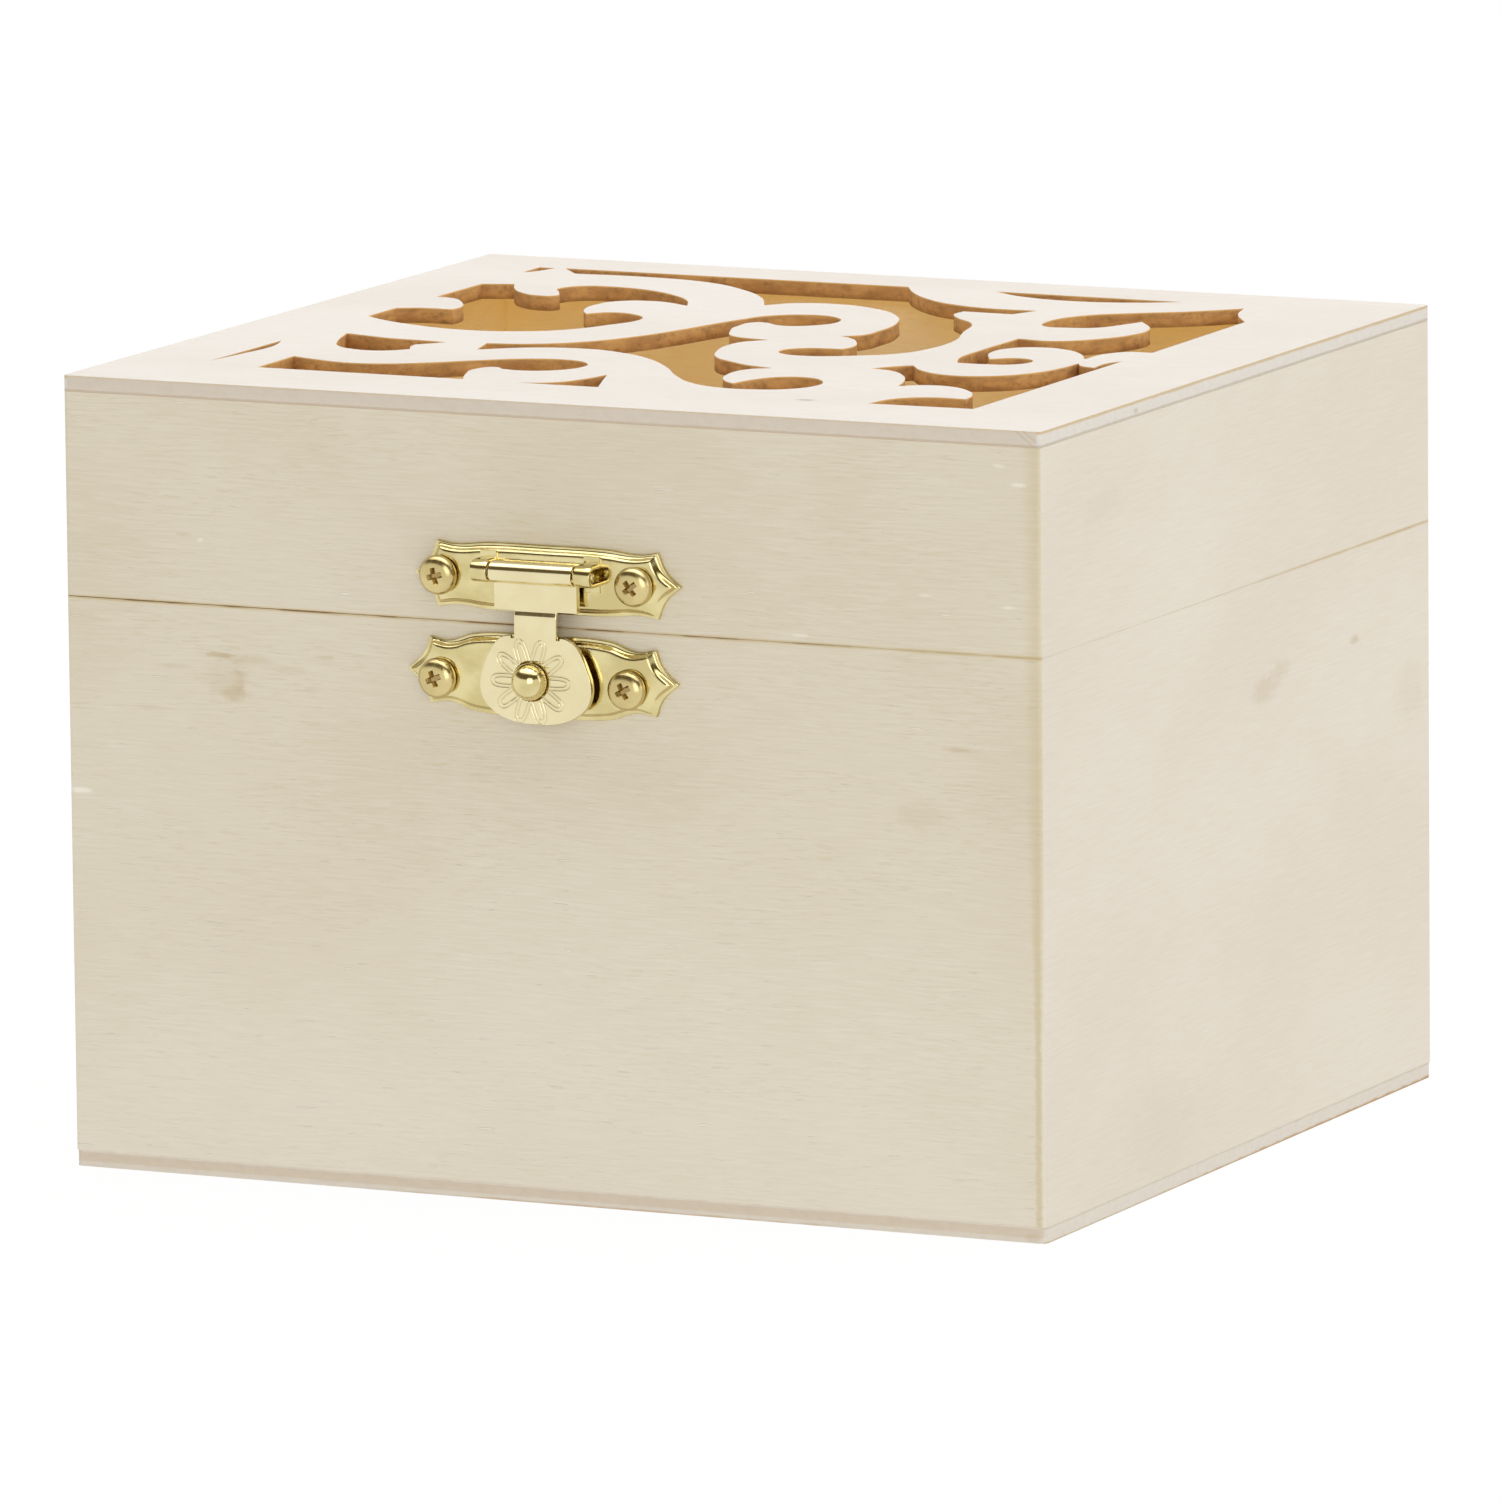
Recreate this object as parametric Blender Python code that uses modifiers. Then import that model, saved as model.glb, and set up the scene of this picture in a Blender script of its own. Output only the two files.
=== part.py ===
"""Small plywood craft box: a fretwork lid on two butt hinges, held shut by a pressed clasp.

Metres, +Z up. The box stands on the XY plane around the Z axis, and its clasp faces -Y.
The lid turns on the hinge pins behind the box, and the hasp turns on the clasp's own pin.
"""

import math
from collections import namedtuple

import bmesh
import bpy
from mathutils import Matrix, Vector

# Driving sizes of the box
BOX_WIDTH = 0.120
BOX_DEPTH = 0.108
BOX_HEIGHT = 0.090
SEAM_HEIGHT = 0.065
FACE_PLY = 0.0018
WALL_PLY = 0.0040
CORNER_RADIUS = 0.0015
CORNER_STEPS = 3

# Clearances: glued or screwed joints, the seam of the lid, and turning joints
GLUE_GAP = 0.0003
SEAM_GAP = 0.0003
TURNING_GAP = 0.0003
OVERRUN = 0.0010
FUSE_DEPTH = 0.0002
MERGE_DISTANCE = 0.00003
WELD_DISTANCE = 0.000003

# Fretwork field, by its margins to the edges of the top panel
FRET_LEFT_MARGIN = 0.0102
FRET_RIGHT_MARGIN = 0.0136
FRET_FRONT_MARGIN = 0.0133
FRET_BACK_MARGIN = 0.0071
FRET_CURVE_STEPS = 3

# Clasp: two pressed plates, a catch knob, and a hasp on a pin. Each piece sits a little off the middle.
UPPER_PLATE_X = 0.0003
UPPER_PLATE_LENGTH = 0.0327
UPPER_PLATE_HEIGHT = 0.0076
UPPER_PLATE_TO_SEAM = 0.0013
LOWER_PLATE_X = -0.0004
LOWER_PLATE_LENGTH = 0.0333
LOWER_PLATE_HEIGHT = 0.0088
LOWER_PLATE_TO_SEAM = 0.0011
PLATE_SHEET = 0.0005
PLATE_RAISE = 0.0007
PLATE_RIM = 0.0007
PLATE_SEAT = 0.0004
PLATE_CURVE_STEPS = 3
UPPER_SCREW_X = -0.0005
UPPER_SCREW_SPACING = 0.0240
UPPER_SCREW_DROP = 0.0000
LOWER_SCREW_X = -0.0011
LOWER_SCREW_SPACING = 0.0233
LOWER_SCREW_DROP = 0.0007
CLASP_PIN_RADIUS = 0.00045
CLASP_PIN_OFF_CENTRE = 0.0010
STRAP_WIDTH = 0.0020
STRAP_FOOT = 0.0005
HASP_X = -0.0001
HASP_SHEET = 0.0005
FLAP_WIDTH = 0.0102
FLAP_LENGTH = 0.0041
NECK_WIDTH = 0.0052
PADDLE_WIDTH = 0.0138
PADDLE_ABOVE_KNOB = 0.0052
PADDLE_BELOW_KNOB = 0.0048
PADDLE_CURVE_STEPS = 3
KNOB_X = -0.0007
KNOB_DROP = 0.0002
KNOB_RADIUS = 0.0021
KNOB_STEM_RADIUS = 0.0010
KNOB_STAND = 0.0016
KNOB_HOLE_GAP = 0.0004

# Hinges: two butt hinges on the outside of the back
HINGE_LENGTH = 0.0200
KNUCKLE_COUNT = 3
HINGE_SPACING_SHARE = 0.567
HINGE_SHEET = 0.0006
HINGE_PIN_RADIUS = 0.0005
LEAF_HEIGHT = 0.0085
LEAF_SCREW_SPACING_SHARE = 0.62

# Screws
CLASP_SCREW_HEAD_RADIUS = 0.0022
CLASP_SCREW_HEAD_HEIGHT = 0.0012
CLASP_SCREW_RADIUS = 0.0009
CLASP_SCREW_LENGTH = 0.0046
HINGE_SCREW_HEAD_RADIUS = 0.0015
HINGE_SCREW_HEAD_HEIGHT = 0.0007
HINGE_SCREW_RADIUS = 0.0007
HINGE_SCREW_LENGTH = 0.0042
ROUND_STEPS = 16
SCREW_STEPS = 12
BALL_ROWS = 8
SMOOTH_ANGLE = math.radians(35)

ROUND = "AUTO"
CORNER = "VECTOR"

# Openings of the fretwork: shares of the field from its left and from its front, and the kind of point.
FRET_OPENING_SHARES = {
    "back_left_nick": [
        (0.004, 0.985, CORNER), (0.026, 0.985, CORNER), (0.014, 0.945, ROUND), (0.005, 0.930, CORNER),
    ],
    "great_sweep": [
        (0.038, 0.988, CORNER), (0.496, 0.990, CORNER), (0.522, 0.944, ROUND), (0.562, 0.894, ROUND),
        (0.605, 0.861, ROUND), (0.660, 0.842, ROUND), (0.728, 0.842, CORNER), (0.712, 0.800, CORNER),
        (0.648, 0.802, CORNER), (0.647, 0.775, ROUND), (0.662, 0.747, ROUND), (0.700, 0.702, ROUND),
        (0.722, 0.622, ROUND), (0.742, 0.548, ROUND), (0.743, 0.475, ROUND), (0.726, 0.415, ROUND),
        (0.684, 0.376, ROUND), (0.630, 0.352, ROUND), (0.596, 0.363, ROUND), (0.586, 0.388, ROUND),
        (0.601, 0.415, ROUND), (0.648, 0.427, CORNER), (0.652, 0.450, ROUND), (0.640, 0.490, ROUND),
        (0.618, 0.522, ROUND), (0.600, 0.534, CORNER), (0.619, 0.550, ROUND), (0.624, 0.600, ROUND),
        (0.618, 0.662, ROUND), (0.588, 0.735, ROUND), (0.545, 0.780, ROUND), (0.485, 0.804, ROUND),
        (0.430, 0.793, ROUND), (0.404, 0.760, CORNER), (0.372, 0.825, ROUND), (0.325, 0.882, ROUND),
        (0.255, 0.933, ROUND), (0.160, 0.951, ROUND), (0.070, 0.946, CORNER),
    ],
    "left_scroll": [
        (0.004, 0.812, CORNER), (0.041, 0.826, CORNER), (0.060, 0.785, ROUND), (0.078, 0.760, ROUND),
        (0.112, 0.738, ROUND), (0.132, 0.745, ROUND), (0.124, 0.775, ROUND), (0.109, 0.808, ROUND),
        (0.126, 0.842, ROUND), (0.160, 0.850, ROUND), (0.215, 0.838, ROUND), (0.262, 0.807, ROUND),
        (0.297, 0.768, ROUND), (0.319, 0.720, CORNER), (0.268, 0.743, ROUND), (0.225, 0.727, ROUND),
        (0.212, 0.678, ROUND), (0.219, 0.635, ROUND), (0.236, 0.603, CORNER), (0.258, 0.627, ROUND),
        (0.296, 0.618, ROUND), (0.318, 0.582, ROUND), (0.302, 0.515, ROUND), (0.270, 0.453, ROUND),
        (0.225, 0.420, ROUND), (0.165, 0.408, ROUND), (0.085, 0.428, ROUND), (0.032, 0.456, ROUND),
        (0.002, 0.480, CORNER), (0.002, 0.562, CORNER), (0.028, 0.575, ROUND), (0.070, 0.577, CORNER),
        (0.071, 0.600, ROUND), (0.050, 0.648, ROUND), (0.028, 0.673, ROUND), (0.003, 0.678, CORNER),
    ],
    "left_leaf": [
        (0.045, 0.325, CORNER), (0.080, 0.314, ROUND), (0.115, 0.304, ROUND), (0.150, 0.302, ROUND),
        (0.190, 0.296, CORNER), (0.163, 0.262, CORNER), (0.166, 0.243, ROUND), (0.175, 0.222, CORNER),
        (0.150, 0.197, ROUND), (0.118, 0.195, ROUND), (0.085, 0.215, ROUND), (0.066, 0.252, ROUND),
    ],
    "left_slit": [
        (0.001, 0.232, CORNER), (0.011, 0.195, ROUND), (0.013, 0.160, ROUND), (0.008, 0.108, ROUND),
        (0.000, 0.030, CORNER),
    ],
    "front_wave": [
        (0.074, 0.110, CORNER), (0.110, 0.095, ROUND), (0.155, 0.083, ROUND), (0.200, 0.092, ROUND),
        (0.245, 0.122, ROUND), (0.290, 0.163, ROUND), (0.340, 0.200, ROUND), (0.388, 0.209, ROUND),
        (0.420, 0.190, ROUND), (0.429, 0.155, ROUND), (0.412, 0.118, ROUND), (0.378, 0.100, ROUND),
        (0.350, 0.103, CORNER), (0.334, 0.116, ROUND), (0.319, 0.088, ROUND), (0.326, 0.050, ROUND),
        (0.343, 0.003, CORNER), (0.076, 0.003, CORNER),
    ],
    "front_wedge": [
        (0.484, 0.105, CORNER), (0.500, 0.055, ROUND), (0.518, 0.001, CORNER), (0.415, 0.000, CORNER),
        (0.452, 0.018, ROUND), (0.473, 0.058, ROUND),
    ],
    "middle_sweep": [
        (0.430, 0.630, ROUND), (0.446, 0.672, ROUND), (0.482, 0.699, ROUND), (0.525, 0.693, ROUND),
        (0.547, 0.650, ROUND), (0.533, 0.612, ROUND), (0.500, 0.594, ROUND), (0.472, 0.612, CORNER),
        (0.458, 0.612, ROUND), (0.450, 0.568, ROUND), (0.460, 0.525, ROUND), (0.482, 0.484, ROUND),
        (0.536, 0.467, CORNER), (0.514, 0.440, ROUND), (0.509, 0.405, ROUND), (0.515, 0.362, ROUND),
        (0.540, 0.300, ROUND), (0.572, 0.271, ROUND), (0.600, 0.251, ROUND), (0.640, 0.236, CORNER),
        (0.617, 0.215, ROUND), (0.613, 0.160, ROUND), (0.632, 0.112, ROUND), (0.650, 0.094, CORNER),
        (0.657, 0.130, ROUND), (0.675, 0.165, ROUND), (0.710, 0.177, ROUND), (0.738, 0.155, ROUND),
        (0.748, 0.115, ROUND), (0.728, 0.072, ROUND), (0.690, 0.054, ROUND), (0.650, 0.054, ROUND),
        (0.605, 0.078, ROUND), (0.562, 0.130, ROUND), (0.520, 0.197, ROUND), (0.465, 0.262, ROUND),
        (0.420, 0.293, ROUND), (0.365, 0.308, ROUND), (0.300, 0.291, ROUND), (0.250, 0.250, CORNER),
        (0.237, 0.308, CORNER), (0.285, 0.322, ROUND), (0.335, 0.362, ROUND), (0.378, 0.440, ROUND),
        (0.400, 0.510, ROUND), (0.415, 0.575, ROUND),
    ],
    "back_lens": [
        (0.612, 0.990, CORNER), (0.858, 0.986, CORNER), (0.800, 0.956, ROUND), (0.735, 0.943, ROUND),
        (0.660, 0.958, ROUND),
    ],
    "right_scroll": [
        (0.949, 0.960, CORNER), (0.962, 0.908, ROUND), (0.997, 0.843, CORNER), (1.000, 0.538, CORNER),
        (0.972, 0.536, ROUND), (0.952, 0.505, ROUND), (0.948, 0.455, CORNER), (0.925, 0.498, ROUND),
        (0.895, 0.526, ROUND), (0.860, 0.533, ROUND), (0.830, 0.512, ROUND), (0.822, 0.470, ROUND),
        (0.843, 0.413, CORNER), (0.876, 0.433, ROUND), (0.899, 0.412, ROUND), (0.888, 0.378, ROUND),
        (0.856, 0.367, ROUND), (0.822, 0.366, CORNER), (0.807, 0.410, ROUND), (0.804, 0.480, ROUND),
        (0.805, 0.596, CORNER), (0.850, 0.592, ROUND), (0.895, 0.634, ROUND), (0.917, 0.685, ROUND),
        (0.917, 0.735, ROUND), (0.883, 0.797, CORNER), (0.872, 0.765, ROUND), (0.852, 0.724, ROUND),
        (0.820, 0.711, ROUND), (0.793, 0.711, ROUND), (0.777, 0.758, ROUND), (0.795, 0.822, ROUND),
        (0.845, 0.870, ROUND), (0.895, 0.905, ROUND),
    ],
    "front_right_scroll": [
        (0.996, 0.455, CORNER), (0.995, 0.000, CORNER), (0.864, -0.005, CORNER), (0.880, 0.052, ROUND),
        (0.915, 0.074, ROUND), (0.955, 0.074, CORNER), (0.950, 0.104, ROUND), (0.930, 0.142, ROUND),
        (0.895, 0.169, ROUND), (0.862, 0.168, ROUND), (0.838, 0.148, CORNER), (0.826, 0.195, ROUND),
        (0.805, 0.240, ROUND), (0.778, 0.270, ROUND), (0.748, 0.279, CORNER), (0.764, 0.305, ROUND),
        (0.782, 0.325, CORNER), (0.812, 0.284, ROUND), (0.855, 0.261, ROUND), (0.905, 0.275, ROUND),
        (0.940, 0.322, ROUND), (0.953, 0.372, ROUND), (0.955, 0.418, CORNER), (0.968, 0.397, ROUND),
        (0.987, 0.389, CORNER), (0.986, 0.430, ROUND),
    ],
}

# Quarter outlines of the clasp plates, from the middle of the long edge to the end: shares of half the
# length and of half the height.
UPPER_PLATE_SHARES = [
    (0.00, 1.00, ROUND), (0.45, 0.985, ROUND), (0.70, 0.90, ROUND), (0.83, 0.98, CORNER),
    (0.885, 0.45, ROUND), (1.00, 0.00, CORNER),
]
LOWER_PLATE_SHARES = [
    (0.00, 1.00, ROUND), (0.50, 0.97, ROUND), (0.70, 0.76, ROUND), (0.835, 0.83, CORNER),
    (0.88, 0.42, ROUND), (1.00, 0.00, CORNER),
]

# Half outline of the hasp's paddle, from the middle of its foot to its shoulder: shares of half its width
# and of its height.
PADDLE_HALF_SHARES = [
    (0.00, 0.00, ROUND), (0.36, 0.03, ROUND), (0.66, 0.11, ROUND), (0.87, 0.20, ROUND), (0.98, 0.33, ROUND),
    (0.95, 0.46, ROUND), (0.86, 0.66, ROUND), (0.70, 0.87, ROUND), (0.48, 1.00, CORNER),
]

# Sections of the turned pieces, from the outer end on the axis and down: shares of radius and of height.
SCREW_HEAD_SHARES = [(0.00, 1.00), (0.55, 0.92), (0.90, 0.55), (1.00, 0.00)]
CROSS_LENGTH_SHARE = 1.18
CROSS_WIDTH_SHARE = 0.32
CROSS_DEPTH_SHARE = 0.55
SCREW_STRAIGHT_SHARE = 0.80
SCREW_TIP_SHARE = 0.35
KNOB_FLANGE_SHARE = 0.70

# Places worked out from the driving sizes
FRONT_Y = -BOX_DEPTH / 2
BACK_Y = BOX_DEPTH / 2
LID_BOTTOM = SEAM_HEIGHT + SEAM_GAP
WALL_TOP = BOX_HEIGHT - FACE_PLY - GLUE_GAP
WALL_BOTTOM = FACE_PLY + GLUE_GAP
PLATE_FACE = GLUE_GAP + PLATE_SHEET + PLATE_RAISE
UPPER_PLATE_Z = LID_BOTTOM + UPPER_PLATE_TO_SEAM + UPPER_PLATE_HEIGHT / 2
LOWER_PLATE_Z = SEAM_HEIGHT - LOWER_PLATE_TO_SEAM - LOWER_PLATE_HEIGHT / 2
CLASP_BORE_RADIUS = CLASP_PIN_RADIUS + TURNING_GAP
CLASP_BARREL_RADIUS = CLASP_BORE_RADIUS + HASP_SHEET
CLASP_PIN_OUT = PLATE_FACE + TURNING_GAP + CLASP_BARREL_RADIUS
CLASP_PIN_Z = UPPER_PLATE_Z + CLASP_PIN_OFF_CENTRE
KNOB_OUT = PLATE_FACE + KNOB_STAND
KNOB_HOLE_RADIUS = KNOB_RADIUS + KNOB_HOLE_GAP
KNOB_Z = LOWER_PLATE_Z - KNOB_DROP
HINGE_BORE_RADIUS = HINGE_PIN_RADIUS + TURNING_GAP
HINGE_BARREL_RADIUS = HINGE_BORE_RADIUS + HINGE_SHEET
HINGE_PIN_OUT = GLUE_GAP + HINGE_BARREL_RADIUS
HINGE_PIN_Z = SEAM_HEIGHT + SEAM_GAP / 2
LEAF_FACE = GLUE_GAP + HINGE_SHEET
KNUCKLE_LENGTH = (HINGE_LENGTH - (KNUCKLE_COUNT - 1) * TURNING_GAP) / KNUCKLE_COUNT
HINGE_SPACING = BOX_WIDTH * HINGE_SPACING_SHARE
LEAF_START = HINGE_BARREL_RADIUS + TURNING_GAP
LEAF_SCREW_DOWN = (LEAF_START + LEAF_HEIGHT) / 2

ClaspPlate = namedtuple("ClaspPlate", "level x z length height shares screw_x screw_spacing screw_drop")
UPPER_PLATE = ClaspPlate(
    "upper", UPPER_PLATE_X, UPPER_PLATE_Z, UPPER_PLATE_LENGTH, UPPER_PLATE_HEIGHT, UPPER_PLATE_SHARES,
    UPPER_SCREW_X, UPPER_SCREW_SPACING, UPPER_SCREW_DROP,
)
LOWER_PLATE = ClaspPlate(
    "lower", LOWER_PLATE_X, LOWER_PLATE_Z, LOWER_PLATE_LENGTH, LOWER_PLATE_HEIGHT, LOWER_PLATE_SHARES,
    LOWER_SCREW_X, LOWER_SCREW_SPACING, LOWER_SCREW_DROP,
)

# A piece on the front or the back is drawn flat, with x along the box, y up and z out of the face.
FRONT_TURN = (math.radians(90), 0, 0)
BACK_TURN = (math.radians(90), 0, math.radians(180))

WOOD = ("plywood", (0.760, 0.690, 0.540, 1.0), 0.62, 0.0)
FRETTED_WOOD = ("fretted_plywood", (0.820, 0.770, 0.680, 1.0), 0.62, 0.0)
PLATED = ("brass_plated_sheet", (0.830, 0.690, 0.360, 1.0), 0.22, 1.0)
SCREW_METAL = ("brass_plated_screw", (0.720, 0.570, 0.260, 1.0), 0.34, 1.0)


def clear_scene():
    for obj in list(bpy.data.objects):
        bpy.data.objects.remove(obj)


def new_collection(name):
    collection = bpy.data.collections.new(name)
    bpy.context.scene.collection.children.link(collection)
    return collection


def material(finish):
    name, colour, roughness, metallic = finish
    made = bpy.data.materials.get(name)
    if made:
        return made
    made = bpy.data.materials.new(name)
    made.use_nodes = True
    shader = made.node_tree.nodes["Principled BSDF"]
    shader.inputs["Base Color"].default_value = colour
    shader.inputs["Roughness"].default_value = roughness
    shader.inputs["Metallic"].default_value = metallic
    made.diffuse_color = colour
    return made


def new_object(name, mesh, collection):
    obj = bpy.data.objects.new(name, mesh)
    collection.objects.link(obj)
    return obj


def mesh_from(name, bm):
    mesh = bpy.data.meshes.new(name)
    bm.to_mesh(mesh)
    bm.free()
    return mesh


def as_tool(obj):
    """A helper that only cuts or joins, and isn't a piece of the box."""
    obj.hide_render = True
    obj.display_type = "WIRE"
    return obj


def finish_piece(obj, finish, smooth=False):
    obj.data.materials.clear()
    obj.data.materials.append(material(finish))
    if smooth:
        obj.data.shade_smooth()
        obj.data.set_sharp_from_angle(angle=SMOOTH_ANGLE)
    return obj


def place(obj, origin, turn=(0, 0, 0), parent=None):
    """Sets the object at a world position; an axis empty as parent is never turned."""
    obj.rotation_euler = turn
    obj.location = Vector(origin)
    if parent:
        obj.parent = parent
        obj.location = Vector(origin) - world_position(parent)
    return obj


def world_position(empty):
    position = empty.location.copy()
    while empty.parent:
        empty = empty.parent
        position += empty.location
    return position


def axis_empty(name, origin, parent=None):
    empty = new_object(name, None, PARTS)
    empty.empty_display_size = WALL_PLY
    return place(empty, origin, parent=parent)


def boolean(obj, tool, operation):
    step = obj.modifiers.new(f"{operation.lower()}_{tool.name}", "BOOLEAN")
    step.operation = operation
    step.solver = "EXACT"
    step.object = tool


def block_mesh(name, low, high, rounded=(), radius=CORNER_RADIUS):
    """A box between two corners; rounded lists the (x side, y side) signs of upright edges to round."""
    low, high = Vector(low), Vector(high)
    centre = (low + high) / 2
    bm = bmesh.new()
    bmesh.ops.create_cube(bm, size=1)
    bmesh.ops.scale(bm, vec=high - low, verts=bm.verts)
    chosen = []
    for edge in bm.edges:
        first, second = edge.verts[0].co, edge.verts[1].co
        side = (math.copysign(1, first.x), math.copysign(1, first.y))
        if abs(first.z - second.z) > (high.z - low.z) / 2 and side in rounded:
            chosen.append(edge)
    if chosen:
        bmesh.ops.bevel(bm, geom=chosen, offset=radius, segments=CORNER_STEPS, affect="EDGES", profile=0.5)
    bmesh.ops.translate(bm, vec=centre, verts=bm.verts)
    return mesh_from(name, bm)


def cylinder_mesh(name, radius, low, high, across=0.0, up=0.0, along="Z", steps=ROUND_STEPS):
    """A cylinder from low to high along X or Z; across and up place its axis in the other two directions."""
    bm = bmesh.new()
    bmesh.ops.create_cone(bm, cap_ends=True, segments=steps, radius1=radius, radius2=radius, depth=high - low)
    if along == "X":
        bmesh.ops.rotate(bm, cent=(0, 0, 0), matrix=Matrix.Rotation(math.radians(90), 3, "Y"), verts=bm.verts)
        centre = ((low + high) / 2, across, up)
    else:
        centre = (across, up, (low + high) / 2)
    bmesh.ops.translate(bm, vec=centre, verts=bm.verts)
    return mesh_from(name, bm)


def turned_object(name, section, collection, steps):
    """A profile of (radius, height) points, outer end first, turned round Z."""
    mesh = bpy.data.meshes.new(name)
    points = [(radius, 0, height) for radius, height in section]
    mesh.from_pydata(points, [(i, i + 1) for i in range(len(points) - 1)], [])
    obj = new_object(name, mesh, collection)
    turning = obj.modifiers.new("turning", "SCREW")
    turning.axis = "Z"
    turning.angle = math.radians(360)
    turning.steps = steps
    turning.render_steps = steps
    turning.use_merge_vertices = True
    turning.merge_threshold = MERGE_DISTANCE
    turning.use_smooth_shade = True
    return obj


def add_spline(curve, points):
    """points: (x, y, kind), closed."""
    spline = curve.splines.new("BEZIER")
    spline.bezier_points.add(len(points) - 1)
    for knot, (x, y, kind) in zip(spline.bezier_points, points):
        knot.co = (x, y, 0)
        knot.handle_left_type = kind
        knot.handle_right_type = kind
    spline.use_cyclic_u = True


def flat_mesh(name, outlines, thickness, steps):
    """A sheet of this thickness on z = 0, cut to the first outline, with the others as openings."""
    curve = bpy.data.curves.new(name, "CURVE")
    curve.dimensions = "2D"
    curve.fill_mode = "BOTH"
    curve.resolution_u = steps
    curve.extrude = thickness / 2
    for points in outlines:
        add_spline(curve, points)
    drawn = new_object(f"{name}_drawn", curve, TOOLS)
    bpy.context.view_layer.update()
    graph = bpy.context.evaluated_depsgraph_get()
    mesh = bpy.data.meshes.new_from_object(drawn.evaluated_get(graph))
    bpy.data.objects.remove(drawn)
    bm = bmesh.new()
    bm.from_mesh(mesh)
    bpy.data.meshes.remove(mesh)
    bmesh.ops.remove_doubles(bm, verts=bm.verts, dist=WELD_DISTANCE)
    bmesh.ops.translate(bm, vec=(0, 0, thickness / 2), verts=bm.verts)
    return mesh_from(name, bm)


def rounded_rectangle(width, depth, radius):
    """Corner arcs as pairs of points, whose handles make a quarter circle between straight sides."""
    points = []
    for corner in range(4):
        start = math.radians(90 * corner)
        middle_x = (width / 2 - radius) * (1 if corner in (0, 3) else -1)
        middle_y = (depth / 2 - radius) * (1 if corner in (0, 1) else -1)
        for step in range(CORNER_STEPS + 1):
            angle = start + math.radians(90) * step / CORNER_STEPS
            points.append((middle_x + radius * math.cos(angle), middle_y + radius * math.sin(angle), CORNER))
    return points


def wood_panel(name, low, high, rounded=(), parent=None):
    """A panel between two world corners; its object's origin is the panel's middle."""
    middle = (Vector(low) + Vector(high)) / 2
    mesh = block_mesh(name, Vector(low) - middle, Vector(high) - middle, rounded)
    obj = new_object(name, mesh, PARTS)
    finish_piece(obj, WOOD)
    return place(obj, middle, parent=parent)


def make_walls(prefix, bottom, top, parent=None):
    """Front and back run the full width; the sides stand between them."""
    half_width, wall = BOX_WIDTH / 2, WALL_PLY
    inner_front = FRONT_Y + wall + GLUE_GAP
    inner_back = BACK_Y - wall - GLUE_GAP
    front = wood_panel(
        f"{prefix}_front_panel", (-half_width, FRONT_Y, bottom), (half_width, FRONT_Y + wall, top),
        rounded=((-1, -1), (1, -1)), parent=parent,
    )
    back = wood_panel(
        f"{prefix}_back_panel", (-half_width, BACK_Y - wall, bottom), (half_width, BACK_Y, top),
        rounded=((-1, 1), (1, 1)), parent=parent,
    )
    left_low, left_high = (-half_width, inner_front, bottom), (-half_width + wall, inner_back, top)
    right_low, right_high = (half_width - wall, inner_front, bottom), (half_width, inner_back, top)
    wood_panel(f"{prefix}_left_panel", left_low, left_high, parent=parent)
    wood_panel(f"{prefix}_right_panel", right_low, right_high, parent=parent)
    return front, back


def make_bottom():
    low = (-BOX_WIDTH / 2, FRONT_Y, 0)
    high = (BOX_WIDTH / 2, BACK_Y, FACE_PLY)
    return wood_panel("bottom_panel", low, high, rounded=((-1, -1), (1, -1), (-1, 1), (1, 1)))


def make_fretwork(parent):
    field_width = BOX_WIDTH - FRET_LEFT_MARGIN - FRET_RIGHT_MARGIN
    field_depth = BOX_DEPTH - FRET_FRONT_MARGIN - FRET_BACK_MARGIN
    left = -BOX_WIDTH / 2 + FRET_LEFT_MARGIN
    front = FRONT_Y + FRET_FRONT_MARGIN
    outlines = [rounded_rectangle(BOX_WIDTH, BOX_DEPTH, CORNER_RADIUS)]
    for shares in FRET_OPENING_SHARES.values():
        outlines.append([(left + u * field_width, front + v * field_depth, kind) for u, v, kind in shares])
    mesh = flat_mesh("fretwork_top_panel", outlines, FACE_PLY, FRET_CURVE_STEPS)
    obj = new_object("fretwork_top_panel", mesh, PARTS)
    finish_piece(obj, FRETTED_WOOD)
    return place(obj, (0, 0, BOX_HEIGHT - FACE_PLY), parent=parent)


def plate_outline(plate):
    quarter = [(x * plate.length / 2, y * plate.height / 2, kind) for x, y, kind in plate.shares]
    inner, middle, end = quarter[1:-1], quarter[0], quarter[-1]
    top_right = [middle] + inner
    bottom_right = [(x, -y, kind) for x, y, kind in reversed(inner)]
    bottom_left = [(-x, -y, kind) for x, y, kind in top_right]
    top_left = [(-x, y, kind) for x, y, kind in reversed(inner)]
    return top_right + [end] + bottom_right + bottom_left + [(-end[0], 0, end[2])] + top_left


def step_in(bm, faces, plate, before, after, out):
    """Draws the faces in from one distance to another inside the plate's outline, and moves them out."""
    bmesh.ops.inset_region(bm, faces=faces, thickness=0)
    inner = list({vertex for face in faces for vertex in face.verts})
    along = (plate.length - 2 * after) / (plate.length - 2 * before)
    up = (plate.height - 2 * after) / (plate.height - 2 * before)
    bmesh.ops.scale(bm, vec=(along, up, 1), verts=inner)
    bmesh.ops.translate(bm, vec=(0, 0, out), verts=inner)


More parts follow.
